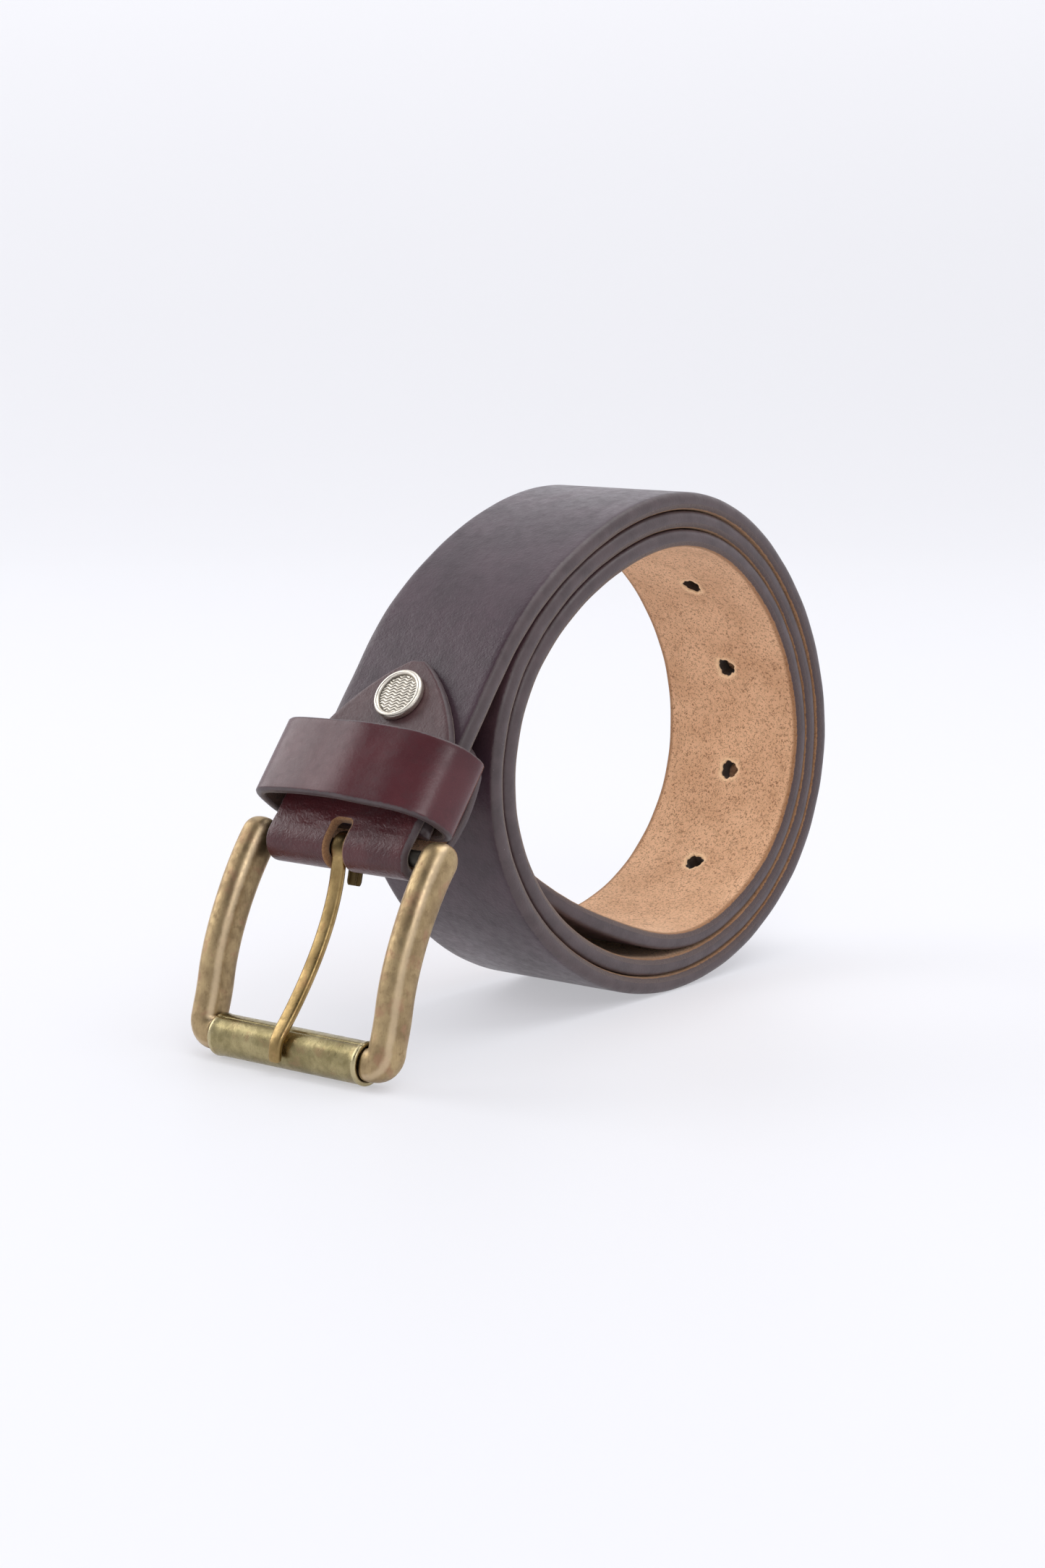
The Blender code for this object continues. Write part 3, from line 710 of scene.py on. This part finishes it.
def roll_radius(angle):
    radius = ROLL_FIRST_RADIUS + ROLL_PITCH * (angle - ROLL_TIP_ANGLE) / 360.0
    for lobes, depth, direction in ROLL_SAG:
        radius = radius + depth * np.cos(np.radians(lobes * (angle - direction)))
    along = np.clip((angle - ROLL_TIP_ANGLE) / (TIP_LIFT_END_ANGLE - ROLL_TIP_ANGLE), 0.0, 1.0)
    return radius - TIP_LIFT * np.sin(math.pi * along) ** 2


def strap_path():
    """The strap's middle line as (x, z), from its free tip to its end inside the chape."""
    last_turn = np.arange(900.0, 1080.0, 0.5)
    drop = (roll_radius(last_turn) * np.sin(np.radians(last_turn))).min()
    roll_z = GROUND + STRAP_THICK / 2.0 - drop
    angles = np.arange(ROLL_TIP_ANGLE, ROLL_LEAVE_ANGLE + 0.1, 0.5)
    radius = roll_radius(angles)
    turn = np.radians(angles)
    spiral = np.stack([ROLL_X + radius * np.cos(turn), roll_z + radius * np.sin(turn)], axis=1)
    leaving = unit(spiral[-1] - spiral[-2])
    top = tail_point(TAIL_STRAIGHT, 0.0, 0.0)[[0, 2]]
    up = UP_TAIL[[0, 2]]
    reach = np.linalg.norm(top - spiral[-1]) / 3.0
    bend = bezier(spiral[-1], spiral[-1] + leaving * reach, top + up * reach, top, 40)
    end = tail_point(STRAP_END_UP, 0.0, 0.0)[[0, 2]]
    straight = top + (end - top) * np.linspace(0.05, 1.0, 20)[:, None]
    return Path(np.vstack([spiral, bend, straight]))


def make_strap(grain, flesh, hole_wall_shade):
    path = strap_path()
    holes = [HOLE_FIRST + HOLE_STEP * i for i in range(HOLE_COUNT)]
    rows = list(np.arange(STRAP_TIP_LENGTH, holes[0] - HOLE_CLEAR - 0.5, 1.6))
    for i, hole in enumerate(holes):
        rows += list(np.arange(hole - HOLE_CLEAR, hole + HOLE_CLEAR + 0.1, 1.0))
        following = holes[i + 1] - HOLE_CLEAR if i + 1 < HOLE_COUNT else hole + HOLE_CLEAR + 20.0
        rows += list(np.arange(hole + HOLE_CLEAR + 1.3, following - 0.6, 1.3))
    rows += list(np.linspace(rows[-1] + 1.5, path.length, int((path.length - rows[-1]) / 1.5)))
    window = np.arange(-HOLE_CLEAR, HOLE_CLEAR + 0.1, 1.0)
    outer = np.array([6.5, 9.2, 11.8, 14.2, 16.3])
    columns = np.concatenate([-outer[::-1], window, outer])
    tips = (STRAP_TIP_LENGTH, 0.0)
    strip = Strip(path.length, STRAP_HALF, STRAP_THICK, (1.6, 1.25), tips, rows, columns, STRAP_NAP)
    strip.build()
    for hole in holes:
        strip.window(hole, HOLE_CLEAR, HOLE_CLEAR, (0.0, 0.0), HOLE_RADIUS, HOLE_LIP, (0.02, 0.15), (0, 1))
    strip.skin()

    def bend(s, y, out):
        """Each turn lies a little to one side of the next, and the cut edges waver."""
        loose = np.clip((path.length - STILL_END - s) / LOOSE_OVER, 0.0, 1.0)
        drift = ripple(s, 4, (390.0, 0.28), (170.0, 0.12)) * loose
        waver = ripple(s, 5, (31.0, 0.05), (11.0, 0.03)) * np.sign(y) * (np.abs(y) > STRAP_HALF * 0.8)
        flat = path.place(s, out)
        most = STRAP_HALF + MOST_DRIFT
        return np.stack([flat[:, 0], np.clip(y + drift + waver, -most, most), flat[:, 1]], axis=1)

    leathers = [grain, flesh, hole_wall_shade]
    strip_piece("strap_leather", strip, bend, leathers, "strap", "strap_leather", "strap")


# ---- chape


def back_tongue_out(up, against_strap):
    """Where the back tongue's middle line is: a pocket for the keeper, closed at its top."""
    share = (up - POCKET_LOW_UP) / (POCKET_TOP_UP - POCKET_LOW_UP)
    closed = min(max((up - POCKET_TOP_UP) / POCKET_CLOSE, 0.0), 1.0)
    keeper_room = KEEPER_THICK + 2.0 * GAP + 0.4
    bulge = POCKET_BULGE * math.sin(math.pi * min(share, 1.0))
    return against_strap - keeper_room * (1.0 - closed) - bulge


def chape_path():
    """The chape's middle line as (up, out): front tongue, fold, back tongue."""
    front = STRAP_THICK / 2.0 + GAP + CHAPE_THICK / 2.0
    points = [(FRONT_TONGUE_UP, front), (30.0, front), (16.0, front), (8.0, front)]
    points.append((4.0, (front + FOLD_RADIUS) / 2.0))
    for turn in np.radians(np.arange(0.0, 181.0, 22.5)):
        points.append((-FOLD_RADIUS * math.sin(turn), FOLD_RADIUS * math.cos(turn)))
    points.append((POCKET_LOW_UP, -FOLD_RADIUS - 0.8))
    for up in (5.2, 8.0, 11.0, 14.0, 17.0, 20.0, 23.0, POCKET_TOP_UP, 28.4, 30.0, 35.0, BACK_TONGUE_UP):
        points.append((up, back_tongue_out(up, -front)))
    return Path(rounded(smooth_through(points, 12), 6))


def make_chape(grain, flesh, raw):
    path = chape_path()
    ups = path.points[:, 0]
    fold_start = path.distance[np.argmax(ups < SLOT_TOP_UP)]
    back_part = path.distance > path.length / 2.0
    fold_end = path.distance[np.argmax(back_part & (ups > SLOT_TOP_UP))]
    middle = (fold_start + fold_end) / 2.0
    half_slot = (fold_end - fold_start) / 2.0 + SLOT_ROOM
    core = (half_slot - SLOT_CORNER, SLOT_WIDTH / 2.0 - SLOT_CORNER)
    margin_s = core[0] + SLOT_CORNER + 1.6
    margin_y = SLOT_WIDTH / 2.0 + 1.5
    slot_rows = np.linspace(middle - margin_s, middle + margin_s, 33)
    before = np.linspace(FRONT_TONGUE_LENGTH, slot_rows[0] - 0.8, 18)
    after = np.linspace(slot_rows[-1] + 0.8, path.length - BACK_TONGUE_LENGTH, 34)
    rows = np.concatenate([before, slot_rows, after])
    window = np.linspace(-margin_y, margin_y, 9)
    outer = np.linspace(margin_y + 1.4, STRAP_HALF - 1.9, 11)
    columns = np.concatenate([-outer[::-1], window, outer])
    tips = (FRONT_TONGUE_LENGTH, BACK_TONGUE_LENGTH)
    strip = Strip(
        path.length, STRAP_HALF, CHAPE_THICK, (0.8, 0.4), tips, rows, columns, tip_point=TONGUE_POINT
    )
    strip.build()
    strip.window(middle, margin_s, margin_y, core, SLOT_CORNER, SLOT_LIP, (0.03, 0.05), (2, 2))
    strip.skin()
    from_middle = np.abs(np.array(strip.points)[:, 0] - middle)
    bent = np.clip((BENT_REACH - from_middle) / BENT_FADE, 0.0, 1.0)

    def bend(s, y, out):
        """Creases run across the grain where it turns into the fold."""
        near_fold = np.exp(-(((s - fold_start + 1.5) / 3.2) ** 2))
        places = list(zip(s, y))
        crease = np.array([noise.noise(Vector((a * 0.85, b * 0.16, 3.0))) for a, b in places])
        lump = np.array([noise.noise(Vector((a * 0.3, b * 0.12, 9.0))) for a, b in places])
        lift = (out > 0.0) * near_fold * (0.30 * crease + 0.25 * lump)
        flat = path.place(s, out + lift)
        return tail_point(flat[:, 0], flat[:, 1], y)

    leathers = [grain, flesh, raw]
    strip_piece("chape_leather", strip, bend, leathers, "strap", "chape_leather", "chape", bent=bent)


# ---- keeper


def keeper_path():
    """The keeper's middle line as (y, out), round from one end of the strip to the other."""
    back = KEEPER_BACK
    near = [(20.2, 9.0), (22.6, 7.4), (23.4, 5.0), (23.3, back + 3.4), (22.2, back + 0.9), (19.0, back)]
    far = [(-9.0, 9.9), (-14.4, 9.0), (-18.9, 7.0), (-22.0, 4.0), (-23.0, 0.6)]
    far += [(-22.8, back + 2.2), (-21.0, back + 0.6), (-18.6, back)]
    points = [(0.2, back), (8.0, back), (14.0, back)]
    points += near[::-1] + [(12.0, 10.0), (2.0, 10.2)] + far
    points += [(-14.0, back), (-8.0, back), (-0.2, back)]
    return Path(rounded(smooth_through(points, 12), 8))


def make_keeper(grain, flesh):
    path = keeper_path()
    rows = np.arange(0.0, path.length, 0.9)
    rows[-1] = path.length
    half = KEEPER_WIDTH / 2.0
    columns = np.linspace(-half + 1.6, half - 1.6, 11)
    strip = Strip(path.length, half, KEEPER_THICK, (0.75, 0.55), (0.0, 0.0), rows, columns)
    strip.build()
    strip.skin()

    def bend(s, across, out):
        """The loop is pulled a little out of shape, so that light runs over it in bands."""
        front = np.clip((path.at(s)[:, 1] - 3.0) / 4.0, 0.0, 1.0)
        flat = path.place(s, out + front * ripple(s, 12, (27.0, 0.25), (13.0, 0.07)))
        waver = ripple(s, 8, (33.0, 0.10)) * across / half
        up = KEEPER_LOW_UP + half + across + waver
        return tail_point(up, flat[:, 1], flat[:, 0])

    leathers = [grain, flesh]
    strip_piece("keeper_leather", strip, bend, leathers, "keeper", "keeper_leather", "keeper_loop")


def make_staple(metal):
    """The wire staple that joins the keeper's two ends, its legs clenched."""
    up = KEEPER_LOW_UP + KEEPER_WIDTH / 2.0
    sunk = KEEPER_THICK / 2.0 - STAPLE_WIRE + 0.1
    front, back, side, turn = KEEPER_BACK + sunk, KEEPER_BACK - sunk, STAPLE_HALF, 0.3
    route = [(1.6, front), (side - turn, front), (side, front - turn)]
    route += [(side, back + turn), (side - turn, back)]
    path = Path(smooth_through(route + flipped(route, -1.0, 1.0), 5))
    turns = full_turn(12)
    rings = []
    for s in np.linspace(0.0, path.length, 70):
        flat = path.place(np.full(12, s), STAPLE_WIRE * np.cos(turns))
        rings.append(tail_point(up + STAPLE_WIRE * np.sin(turns), flat[:, 1], flat[:, 0]))
    new_piece(
        "keeper_staple_wire", tube(rings), [metal], "keeper", "staple_steel", "keeper_staple", hollow=0.0
    )


# ---- rivet


def make_rivet_cap(metal):
    """A cap with a rolled rim round a disc stamped with fine waves."""
    base = RIVET_SEAT + 0.05
    top = base + GAP + RIVET_CAP_HEIGHT
    rim = RIVET_CAP_RADIUS
    disc = rim - 1.25
    floor = top - 0.62
    profile = [(disc * (i + 1.0) / DISC_RINGS, floor) for i in range(DISC_RINGS)]
    profile += [(rim - 1.20, floor + 0.05), (rim - 1.14, top - 0.30), (rim - 1.0, top - 0.12)]
    profile += [(rim - 0.8, top - 0.02), (rim - 0.62, top), (rim - 0.4, top - 0.06)]
    profile += [(rim - 0.16, top - 0.25), (rim - 0.02, top - 0.55), (rim, top - 0.8)]
    profile += [(rim - 0.03, base + 0.5), (rim - 0.15, base + 0.15), (rim - 0.4, base)]
    profile.append((RIVET_POST_RADIUS + 0.4, base))
    centre = tail_point(RIVET_UP, 0.0, 0.0)
    rings = turned_rings(profile, centre, OUT_OF_TAIL, 192)
    hollow = np.zeros(rings.shape[:2])
    for i, (radius, _) in enumerate(profile[:DISC_RINGS]):
        away = rings[i] - centre
        y = away @ ACROSS
        up = away @ UP_TAIL
        across = y * math.cos(WAVE_TILT) + up * math.sin(WAVE_TILT)
        along = up * math.cos(WAVE_TILT) - y * math.sin(WAVE_TILT)
        phase = (along + WAVE_HEIGHT * np.sin(2.0 * math.pi * across / WAVE_LENGTH)) / WAVE_PITCH
        groove = (0.5 - 0.5 * np.cos(2.0 * math.pi * phase)) ** 2
        fade = np.clip((disc - radius) / 0.35, 0.0, 1.0)
        bowl = DISC_BOWL * (1.0 - (radius / disc) ** 2)
        rings[i] += OUT_OF_TAIL * (bowl - WAVE_DEPTH * groove * fade)[:, None]
        # Painted shade: the wave grooves are marked dark, the whole sunk disc a little, and the recess at
        # the foot of the rim fully.
        hollow[i] = 0.12 + 0.88 * groove
    hollow[DISC_RINGS - 2 : DISC_RINGS + 1] = 1.0
    new_piece(
        "rivet_cap_face", tube(rings), [metal], "strap", "cap_nickel", "rivet_cap", hollow=hollow.ravel()
    )


def make_rivet_post(metal):
    """The post and its domed flange behind the tail."""
    base = RIVET_SEAT + GAP
    rim = RIVET_CAP_RADIUS - 2.1
    post = RIVET_POST_RADIUS
    profile = [(0.05, -base - 1.1), (rim * 0.35, -base - 1.08), (rim * 0.7, -base - 0.98)]
    profile += [(rim - 0.35, -base - 0.78), (rim - 0.08, -base - 0.5), (rim, -base - 0.3)]
    profile += [(rim - 0.1, -base - 0.08), (rim - 0.3, -base), (post + 0.2, -base)]
    profile += [(post, -base + 0.2), (post, base + 0.2), (0.05, base + 0.3)]
    shape = tube(turned_rings(profile, tail_point(RIVET_UP, 0.0, 0.0), OUT_OF_TAIL, 64))
    new_piece("rivet_post_flange", shape, [metal], "strap", "post_nickel", "rivet_post", hollow=0.0)


# ---- buckle


def arm_line():
    """One arm's middle line seen from the side, and the way its lower end points."""
    hook = unit([-0.25, 0.0, -0.97])
    knee = FRONT_BAR + [3.0, 0.0, 11.4]
    corner = FRONT_BAR - hook * CORNER_RADIUS
    upper = bezier(HEEL_BAR, HEEL_BAR + [-5.4, 0.0, -6.2], knee + [1.8, 0.0, 9.5], knee, 28)
    lower = bezier(knee, knee + [-0.7, 0.0, -3.8], corner - hook * 2.0, corner, 14)
    return np.vstack([[HEEL_BAR], upper, lower]), hook


RING_TURNS = full_turn(48)
ARM_SQUARENESS = 0.8
RIDGE_SHARPNESS = 3.5
CORNER_FULLNESS = 0.22


def ring(centre, depth_axis, width_axis, half_deep, half_wide, squareness=ARM_SQUARENESS):
    """A rounded section: an ellipse at a squareness of 1, and squarer below it."""
    circle = np.cos(RING_TURNS), np.sin(RING_TURNS)
    deep, wide = (np.sign(part) * np.abs(part) ** squareness for part in circle)
    return centre + np.outer(deep * half_deep, depth_axis) + np.outer(wide * half_wide, width_axis)


def frame_half():
    """Sections of half the frame, from the top of an arm to the middle of the front bar."""
    line, hook = arm_line()
    side = ACROSS * ARM_Y
    rings = []
    first = unit(line[1] - line[0])
    first_depth = np.cross(first, ACROSS)
    for height in (0.995, 0.96, 0.88, 0.76, 0.6, 0.4, 0.2):
        size = math.sqrt(1.0 - height * height)
        centre = side + HEEL_BAR - first * (EYE_RADIUS * height)
        wide = ARM_HALF_WIDE * (0.35 + 0.65 * size) * min(1.0, 0.3 + 1.4 * size)
        rings.append(ring(centre, first_depth, ACROSS, EYE_RADIUS * size, wide))
    for i, middle in enumerate(line):
        last = i == len(line) - 1
        along = hook if last else unit(line[i + 1] - line[max(i - 1, 0)])
        share = min(i / 14.0, 1.0)
        deep = EYE_RADIUS + (ARM_HALF_DEEP - EYE_RADIUS) * share
        rings.append(ring(side + middle, np.cross(along, ACROSS), ACROSS, deep, ARM_HALF_WIDE))
    depth = np.cross(hook, ACROSS)
    corner = side + line[-1]
    for turn in np.linspace(0.0, math.pi / 2.0, 11)[1:]:
        centre = corner + hook * (CORNER_RADIUS * math.sin(turn))
        centre = centre - ACROSS * (CORNER_RADIUS * (1.0 - math.cos(turn)))
        width_axis = ACROSS * math.cos(turn) + hook * math.sin(turn)
        fuller = CORNER_FULLNESS * math.sin(2.0 * turn)
        centre = centre + width_axis * fuller
        rings.append(ring(centre, depth, width_axis, ARM_HALF_DEEP, ARM_HALF_WIDE + fuller))
    shoulder = ARM_Y - CORNER_RADIUS
    for y, radius in ((shoulder - 0.25, 3.3), (shoulder - 0.5, FRONT_BAR_RADIUS), (8.0, 3.0), (0.0, 3.0)):
        rings.append(ring(FRONT_BAR + ACROSS * y, depth, hook, radius, radius, 1.0))
    return np.array(rings)


def make_frame(brass):
    half = frame_half()
    rings = np.vstack([half, half[::-1][1:] * [1.0, -1.0, 1.0]])
    corners = np.abs(np.sin(2.0 * RING_TURNS)) ** RIDGE_SHARPNESS
    ridge = np.tile(corners, len(rings))
    new_piece("frame_brass", tube(rings), [brass], "frame", "frame_brass", "buckle_frame", ridge=ridge)


def make_heel_bar(steel):
    """The bar, with turned-down, chamfered ends in the arms."""
    full, slim, end = BAR_RADIUS, BAR_RADIUS - 0.2, BAR_RADIUS - 0.6
    profile = [(0.05, -BAR_HALF), (end, -BAR_HALF), (slim, -BAR_HALF + 0.4), (slim, -20.6)]
    profile.append((full, -20.4))
    shape = tube(turned_rings(profile + flipped(profile), HEEL_BAR, ACROSS, 48))
    new_piece("heel_bar_pin", shape, [steel], "frame", "bar_steel", "heel_bar", hollow=0.0)


def make_roller(brass):
    """A tube rolled from sheet: eased, slightly flared rims and a closed seam along it."""
    half, outer = ROLLER_HALF, ROLLER_RADIUS
    inner = outer - ROLLER_WALL
    lip = [(inner, half - 0.45), (inner + 0.12, half - 0.12), (inner + 0.4, half)]
    outside = [(outer - 0.4, half), (outer - 0.1, half - 0.12), (outer, half - 0.42)]
    outside += [(outer - 0.02, half - 0.8), (outer - 0.14, half - 1.5), (outer - 0.15, half - 2.4)]
    outside += [(outer - 0.15, half * share) for share in (0.75, 0.5, 0.25, 0.0)]
    profile = outside + flipped(outside[:-1]) + flipped(lip) + lip
    steps = 120
    rings = turned_rings(profile, FRONT_BAR, ACROSS, steps)
    seam = SEAM_DEPTH * np.exp(-(((full_turn(steps) - SEAM_TURN) / SEAM_HALF_TURN) ** 2))
    for i, (radius, _) in enumerate(profile):
        if radius > outer - 0.5:
            away = rings[i] - FRONT_BAR
            away[:, 1] = 0.0
            rings[i] -= unit(away) * seam[:, None]
    points, faces = tube(np.vstack([rings, rings[:1]]), closed_ends=False)
    count = steps * len(profile)
    shape = points[:count], [tuple(v % count for v in face) for face in faces]
    ridge = np.repeat([float(abs(y) > half - 1.0) for _, y in profile], steps)
    new_piece("roller_tube", shape, [brass], "roller", "roller_brass", "roller", ridge=ridge)


def prong_path():
    """The prong's middle line as (x, z): a tab behind the bar, a curl over it, its body and tip."""
    curl = BAR_RADIUS + GAP + PRONG_THICK / 2.0
    points = [HEEL_BAR + [2.0, 0.0, -8.2], HEEL_BAR + [2.9, 0.0, -4.0]]
    for turn in np.radians(np.arange(-10.0, 207.0, 24.0)):
        points.append(HEEL_BAR + np.array([math.cos(turn), 0.0, math.sin(turn)]) * curl)
    tip = []
    for degrees, lift in ((135.0, 0.15), (156.0, 0.15), (176.0, 0.15), (196.0, 0.4)):
        turn = math.radians(degrees)
        reach = ROLLER_RADIUS + GAP + PRONG_THICK / 2.0 + lift
        tip.append(FRONT_BAR + np.array([math.cos(turn), 0.0, math.sin(turn)]) * reach)
    leaving = HEEL_BAR + [-3.4, 0.0, -12.0]
    points += list(bezier(points[-1], leaving, tip[0] + [10.5, 0.0, 11.5], tip[0], 10))
    points += tip[1:]
    flat = [(x, z) for x, _, z in points]
    return Path(rounded(smooth_through(flat, 10), 6))


def prong_section():
    """(y, out) round the prong: rounded rims along a shallow channel."""
    half, deep = PRONG_WIDTH / 2.0, PRONG_THICK / 2.0
    top = [(-half, 0.1), (-half + 0.07, 0.42), (-half + 0.25, 0.67), (-half + 0.5, deep)]
    top += [(-half + 0.8, 0.66), (-half + 1.1, 0.52), (0.0, 0.46)]
    top += flipped(top[:-1], -1.0, 1.0)
    under = [(half - 0.06, -0.35), (half - 0.35, -deep + 0.1), (half - 0.8, -deep), (0.0, -deep)]
    under += flipped(under[:-1], -1.0, 1.0)
    return np.array(top + under)


def make_prong(brass):
    path = prong_path()
    section = prong_section()
    stations = np.concatenate([[0.0, 0.15, 0.45, 0.9], np.arange(1.6, path.length - 1.5, 0.7)])
    stations = np.concatenate([stations, path.length - np.array([1.1, 0.7, 0.35, 0.12, 0.0])])
    rings = []
    for s in stations:
        from_end = min(s, path.length - s)
        slim = math.sqrt(max(0.0, 1.0 - (1.0 - min(from_end + 0.25, 1.3) / 1.3) ** 2))
        near_tip = np.clip((s - path.length + PRONG_TIP_LENGTH) / PRONG_TIP_LENGTH, 0.0, 1.0)
        taper = 1.0 - PRONG_TIP_SLIMS * near_tip
        y = section[:, 0] * taper * (0.55 + 0.45 * slim)
        out = section[:, 1] * (0.3 + 0.7 * slim)
        flat = path.place(np.full(len(y), s), -out)
        rings.append(np.stack([flat[:, 0], y, flat[:, 1]], axis=1))
    rims = np.exp(-(((np.abs(section[:, 0]) - PRONG_WIDTH / 2.0 + 0.35) / 0.4) ** 2))
    rims *= section[:, 1] > 0.0
    # Painted shade: the curl lies in the shade of the chape's slot, so it is marked to be painted near
    # black.
    dark = np.clip((PRONG_CURL_LENGTH - stations) / 3.0, 0.0, 1.0)[:, None]
    ridge = (rims[None, :] * (1.0 - dark) - dark).ravel()
    new_piece("prong_brass", tube(rings), [brass], "prong", "prong_brass", "prong", ridge=ridge)


# ---- stage


def make_stage():
    """A pale floor that curves up into the backdrop behind the belt, seen from the camera."""
    profile = [(-3.0, 0.0)] + [(2.0 * i / 10.0 - 1.0, 0.0) for i in range(11)]
    for turn in np.linspace(0.1, math.pi / 2, 14):
        profile.append((1.0 + 0.8 * math.sin(turn), 0.8 * (1.0 - math.cos(turn))))
    profile.append((1.8, 4.0))
    look = math.radians(CAMERA_TURN)
    forward = np.array([-math.sin(look), math.cos(look), 0.0])
    aside = np.array([forward[1], -forward[0], 0.0])
    points = []
    for reach, height in profile:
        for side in (-4.0, 4.0):
            points.append(forward * reach + aside * side + [0.0, 0.0, height + GROUND * MM])
    faces = [(2 * i, 2 * i + 1, 2 * i + 3, 2 * i + 2) for i in range(len(profile) - 1)]
    mesh = bpy.data.meshes.new("floor")
    mesh.from_pydata([list(point) for point in points], [], faces)
    mesh.shade_smooth()
    floor = bpy.data.objects.new("floor", mesh)
    bpy.context.scene.collection.objects.link(floor)
    m = Nodes("pale_paper", 0.0, Specular_IOR_Level=0.2, Emission_Strength=1.0)
    height = add_node(m.tree, "SeparateXYZ", Vector=m.place).outputs["Z"]
    m.set(Emission_Color=m.over((0.43, 0.43, 0.448), (0.745, 0.745, 0.772), height, 0.0, 0.9))
    tint = m.mix(m.noise(300.0, 2.0), (0.42, 0.42, 0.435), (0.43, 0.43, 0.445))
    mesh.materials.append(m.finish(tint, 0.55))


def area_light(name, place, aim, size, power):
    light = bpy.data.lights.new(name, "AREA")
    light.shape = "RECTANGLE"
    light.size, light.size_y = size
    light.energy = power
    lamp = bpy.data.objects.new(name, light)
    lamp.location = place
    lamp.rotation_euler = (Vector(aim) - Vector(place)).to_track_quat("-Z", "Y").to_euler()
    bpy.context.scene.collection.objects.link(lamp)


CAMERA_TURN = -51.5
CAMERA_DOWN = 9.45
CAMERA_PLACE = (-0.5509, -0.4335, 0.1657)
CAMERA_LENS = 73.39
DARK_SIDE = (-0.50, 0.20, 0.84)
DARK_FROM = math.radians(47.0)
DARK_WITHIN = math.radians(22.0)
SKY_LIGHT = 0.80
SKY_DARK = 0.22


def make_camera():
    camera = bpy.data.cameras.new("camera")
    camera.lens = CAMERA_LENS
    camera.sensor_width = 36.0
    camera.clip_start = 0.01
    viewer = bpy.data.objects.new("camera", camera)
    viewer.location = CAMERA_PLACE
    viewer.rotation_euler = (math.radians(90.0 - CAMERA_DOWN), 0.0, math.radians(CAMERA_TURN))
    bpy.context.scene.collection.objects.link(viewer)
    bpy.context.scene.camera = viewer


def make_light():
    world = bpy.data.worlds.new("studio")
    world.use_nodes = True
    tree = world.node_tree
    sky = tree.nodes["Background"]
    sky.inputs["Color"].default_value = (0.94, 0.95, 1.0, 1.0)
    direction = add_node(tree, "TexCoord").outputs["Generated"]
    towards = add_node(tree, "VectorMath")
    towards.operation = "DOT_PRODUCT"
    link(tree, direction, towards.inputs[0])
    link(tree, DARK_SIDE, towards.inputs[1])
    cosine = towards.outputs["Value"]
    light = smooth_step(tree, cosine, math.cos(DARK_FROM), math.cos(DARK_WITHIN), SKY_LIGHT, SKY_DARK)
    link(tree, light, sky.inputs["Strength"])
    bpy.context.scene.world = world
    area_light("top_softbox", (0.25, -0.25, 1.4), (0.0, 0.0, 0.0), (1.0, 1.2), 8.0)
    area_light("left_softbox", (-0.5, 1.5, 0.9), (0.0, 0.0, 0.05), (1.2, 1.2), 10.0)
    area_light("front_fill", (-0.9, -1.0, 1.1), (0.0, 0.0, 0.05), (0.7, 0.6), 4.0)
    bpy.context.scene.view_settings.view_transform = "Standard"


# ---- the belt


def main():
    make_camera()
    make_light()
    make_stage()

    paint = (0.086, 0.060, 0.063)
    tans = (0.68, 0.40, 0.23), (0.84, 0.53, 0.325), (0.26, 0.125, 0.06), (0.26, 0.115, 0.045)
    # Painted shade: the keeper's flesh tones are its dyed maroon, darkened to the shade seen inside the
    # loop.
    keeper_flesh_shade_tones = (0.055, 0.018, 0.014), (0.085, 0.030, 0.022), (0.02, 0.008, 0.006), (0.05, 0.02, 0.015)
    strap_tones = (0.038, 0.019, 0.027), (0.064, 0.035, 0.047)
    chape_tones = (0.068, 0.030, 0.033), (0.100, 0.049, 0.052)
    fold_tones = (0.055, 0.010, 0.013), (0.090, 0.021, 0.024)
    keeper_tones = (0.060, 0.012, 0.016), (0.088, 0.021, 0.026)
    strap_grain = grain_leather("strap_grain", *strap_tones, paint, 0.36, 0.42, 0.45, 0.9)
    chape_grain = grain_leather("chape_grain", *chape_tones, paint, 0.34, 0.60, 0.4, 0.35, fold_tones)
    keeper_grain = grain_leather("keeper_grain", *keeper_tones, paint, 0.27, 0.45, 0.15, 0.35)
    flesh = flesh_leather("strap_flesh", *tans, paint, 0.6)
    # Painted shade: the walls of the punched holes take a near-black brown for the shade inside them,
    # where the cut at the chape's slot is left tan.
    hole_wall_shade = raw_leather("hole_wall_shade", (0.07, 0.045, 0.03), (0.03, 0.02, 0.015))
    slot_rim = raw_leather("slot_rim", (0.33, 0.17, 0.08), (0.16, 0.08, 0.035))
    make_strap(strap_grain, flesh, hole_wall_shade)
    make_chape(chape_grain, flesh, slot_rim)
    make_keeper(keeper_grain, flesh_leather("keeper_flesh_shade", *keeper_flesh_shade_tones, paint, 0.3))
    make_staple(plated("staple_metal", (0.62, 0.62, 0.60), (0.35, 0.34, 0.32), 0.28))
    make_rivet_cap(plated("cap_metal", (0.84, 0.78, 0.68), (0.13, 0.11, 0.085), 0.33))
    make_rivet_post(plated("post_metal", (0.60, 0.57, 0.50), (0.30, 0.28, 0.24), 0.32))

    frame_tones = (0.50, 0.37, 0.20), (0.29, 0.205, 0.11), (0.68, 0.53, 0.35)
    roller_tones = (0.43, 0.36, 0.19), (0.23, 0.19, 0.09), (0.62, 0.53, 0.32)
    prong_tones = (0.47, 0.33, 0.145), (0.28, 0.19, 0.078), (0.66, 0.47, 0.27)
    make_frame(old_brass("frame_metal", *frame_tones, 0.42))
    make_heel_bar(plated("bar_metal", (0.060, 0.054, 0.046), (0.030, 0.026, 0.022), 0.45))
    make_roller(old_brass("roller_metal", *roller_tones, 0.30))
    make_prong(old_brass("prong_metal", *prong_tones, 0.34))


main()
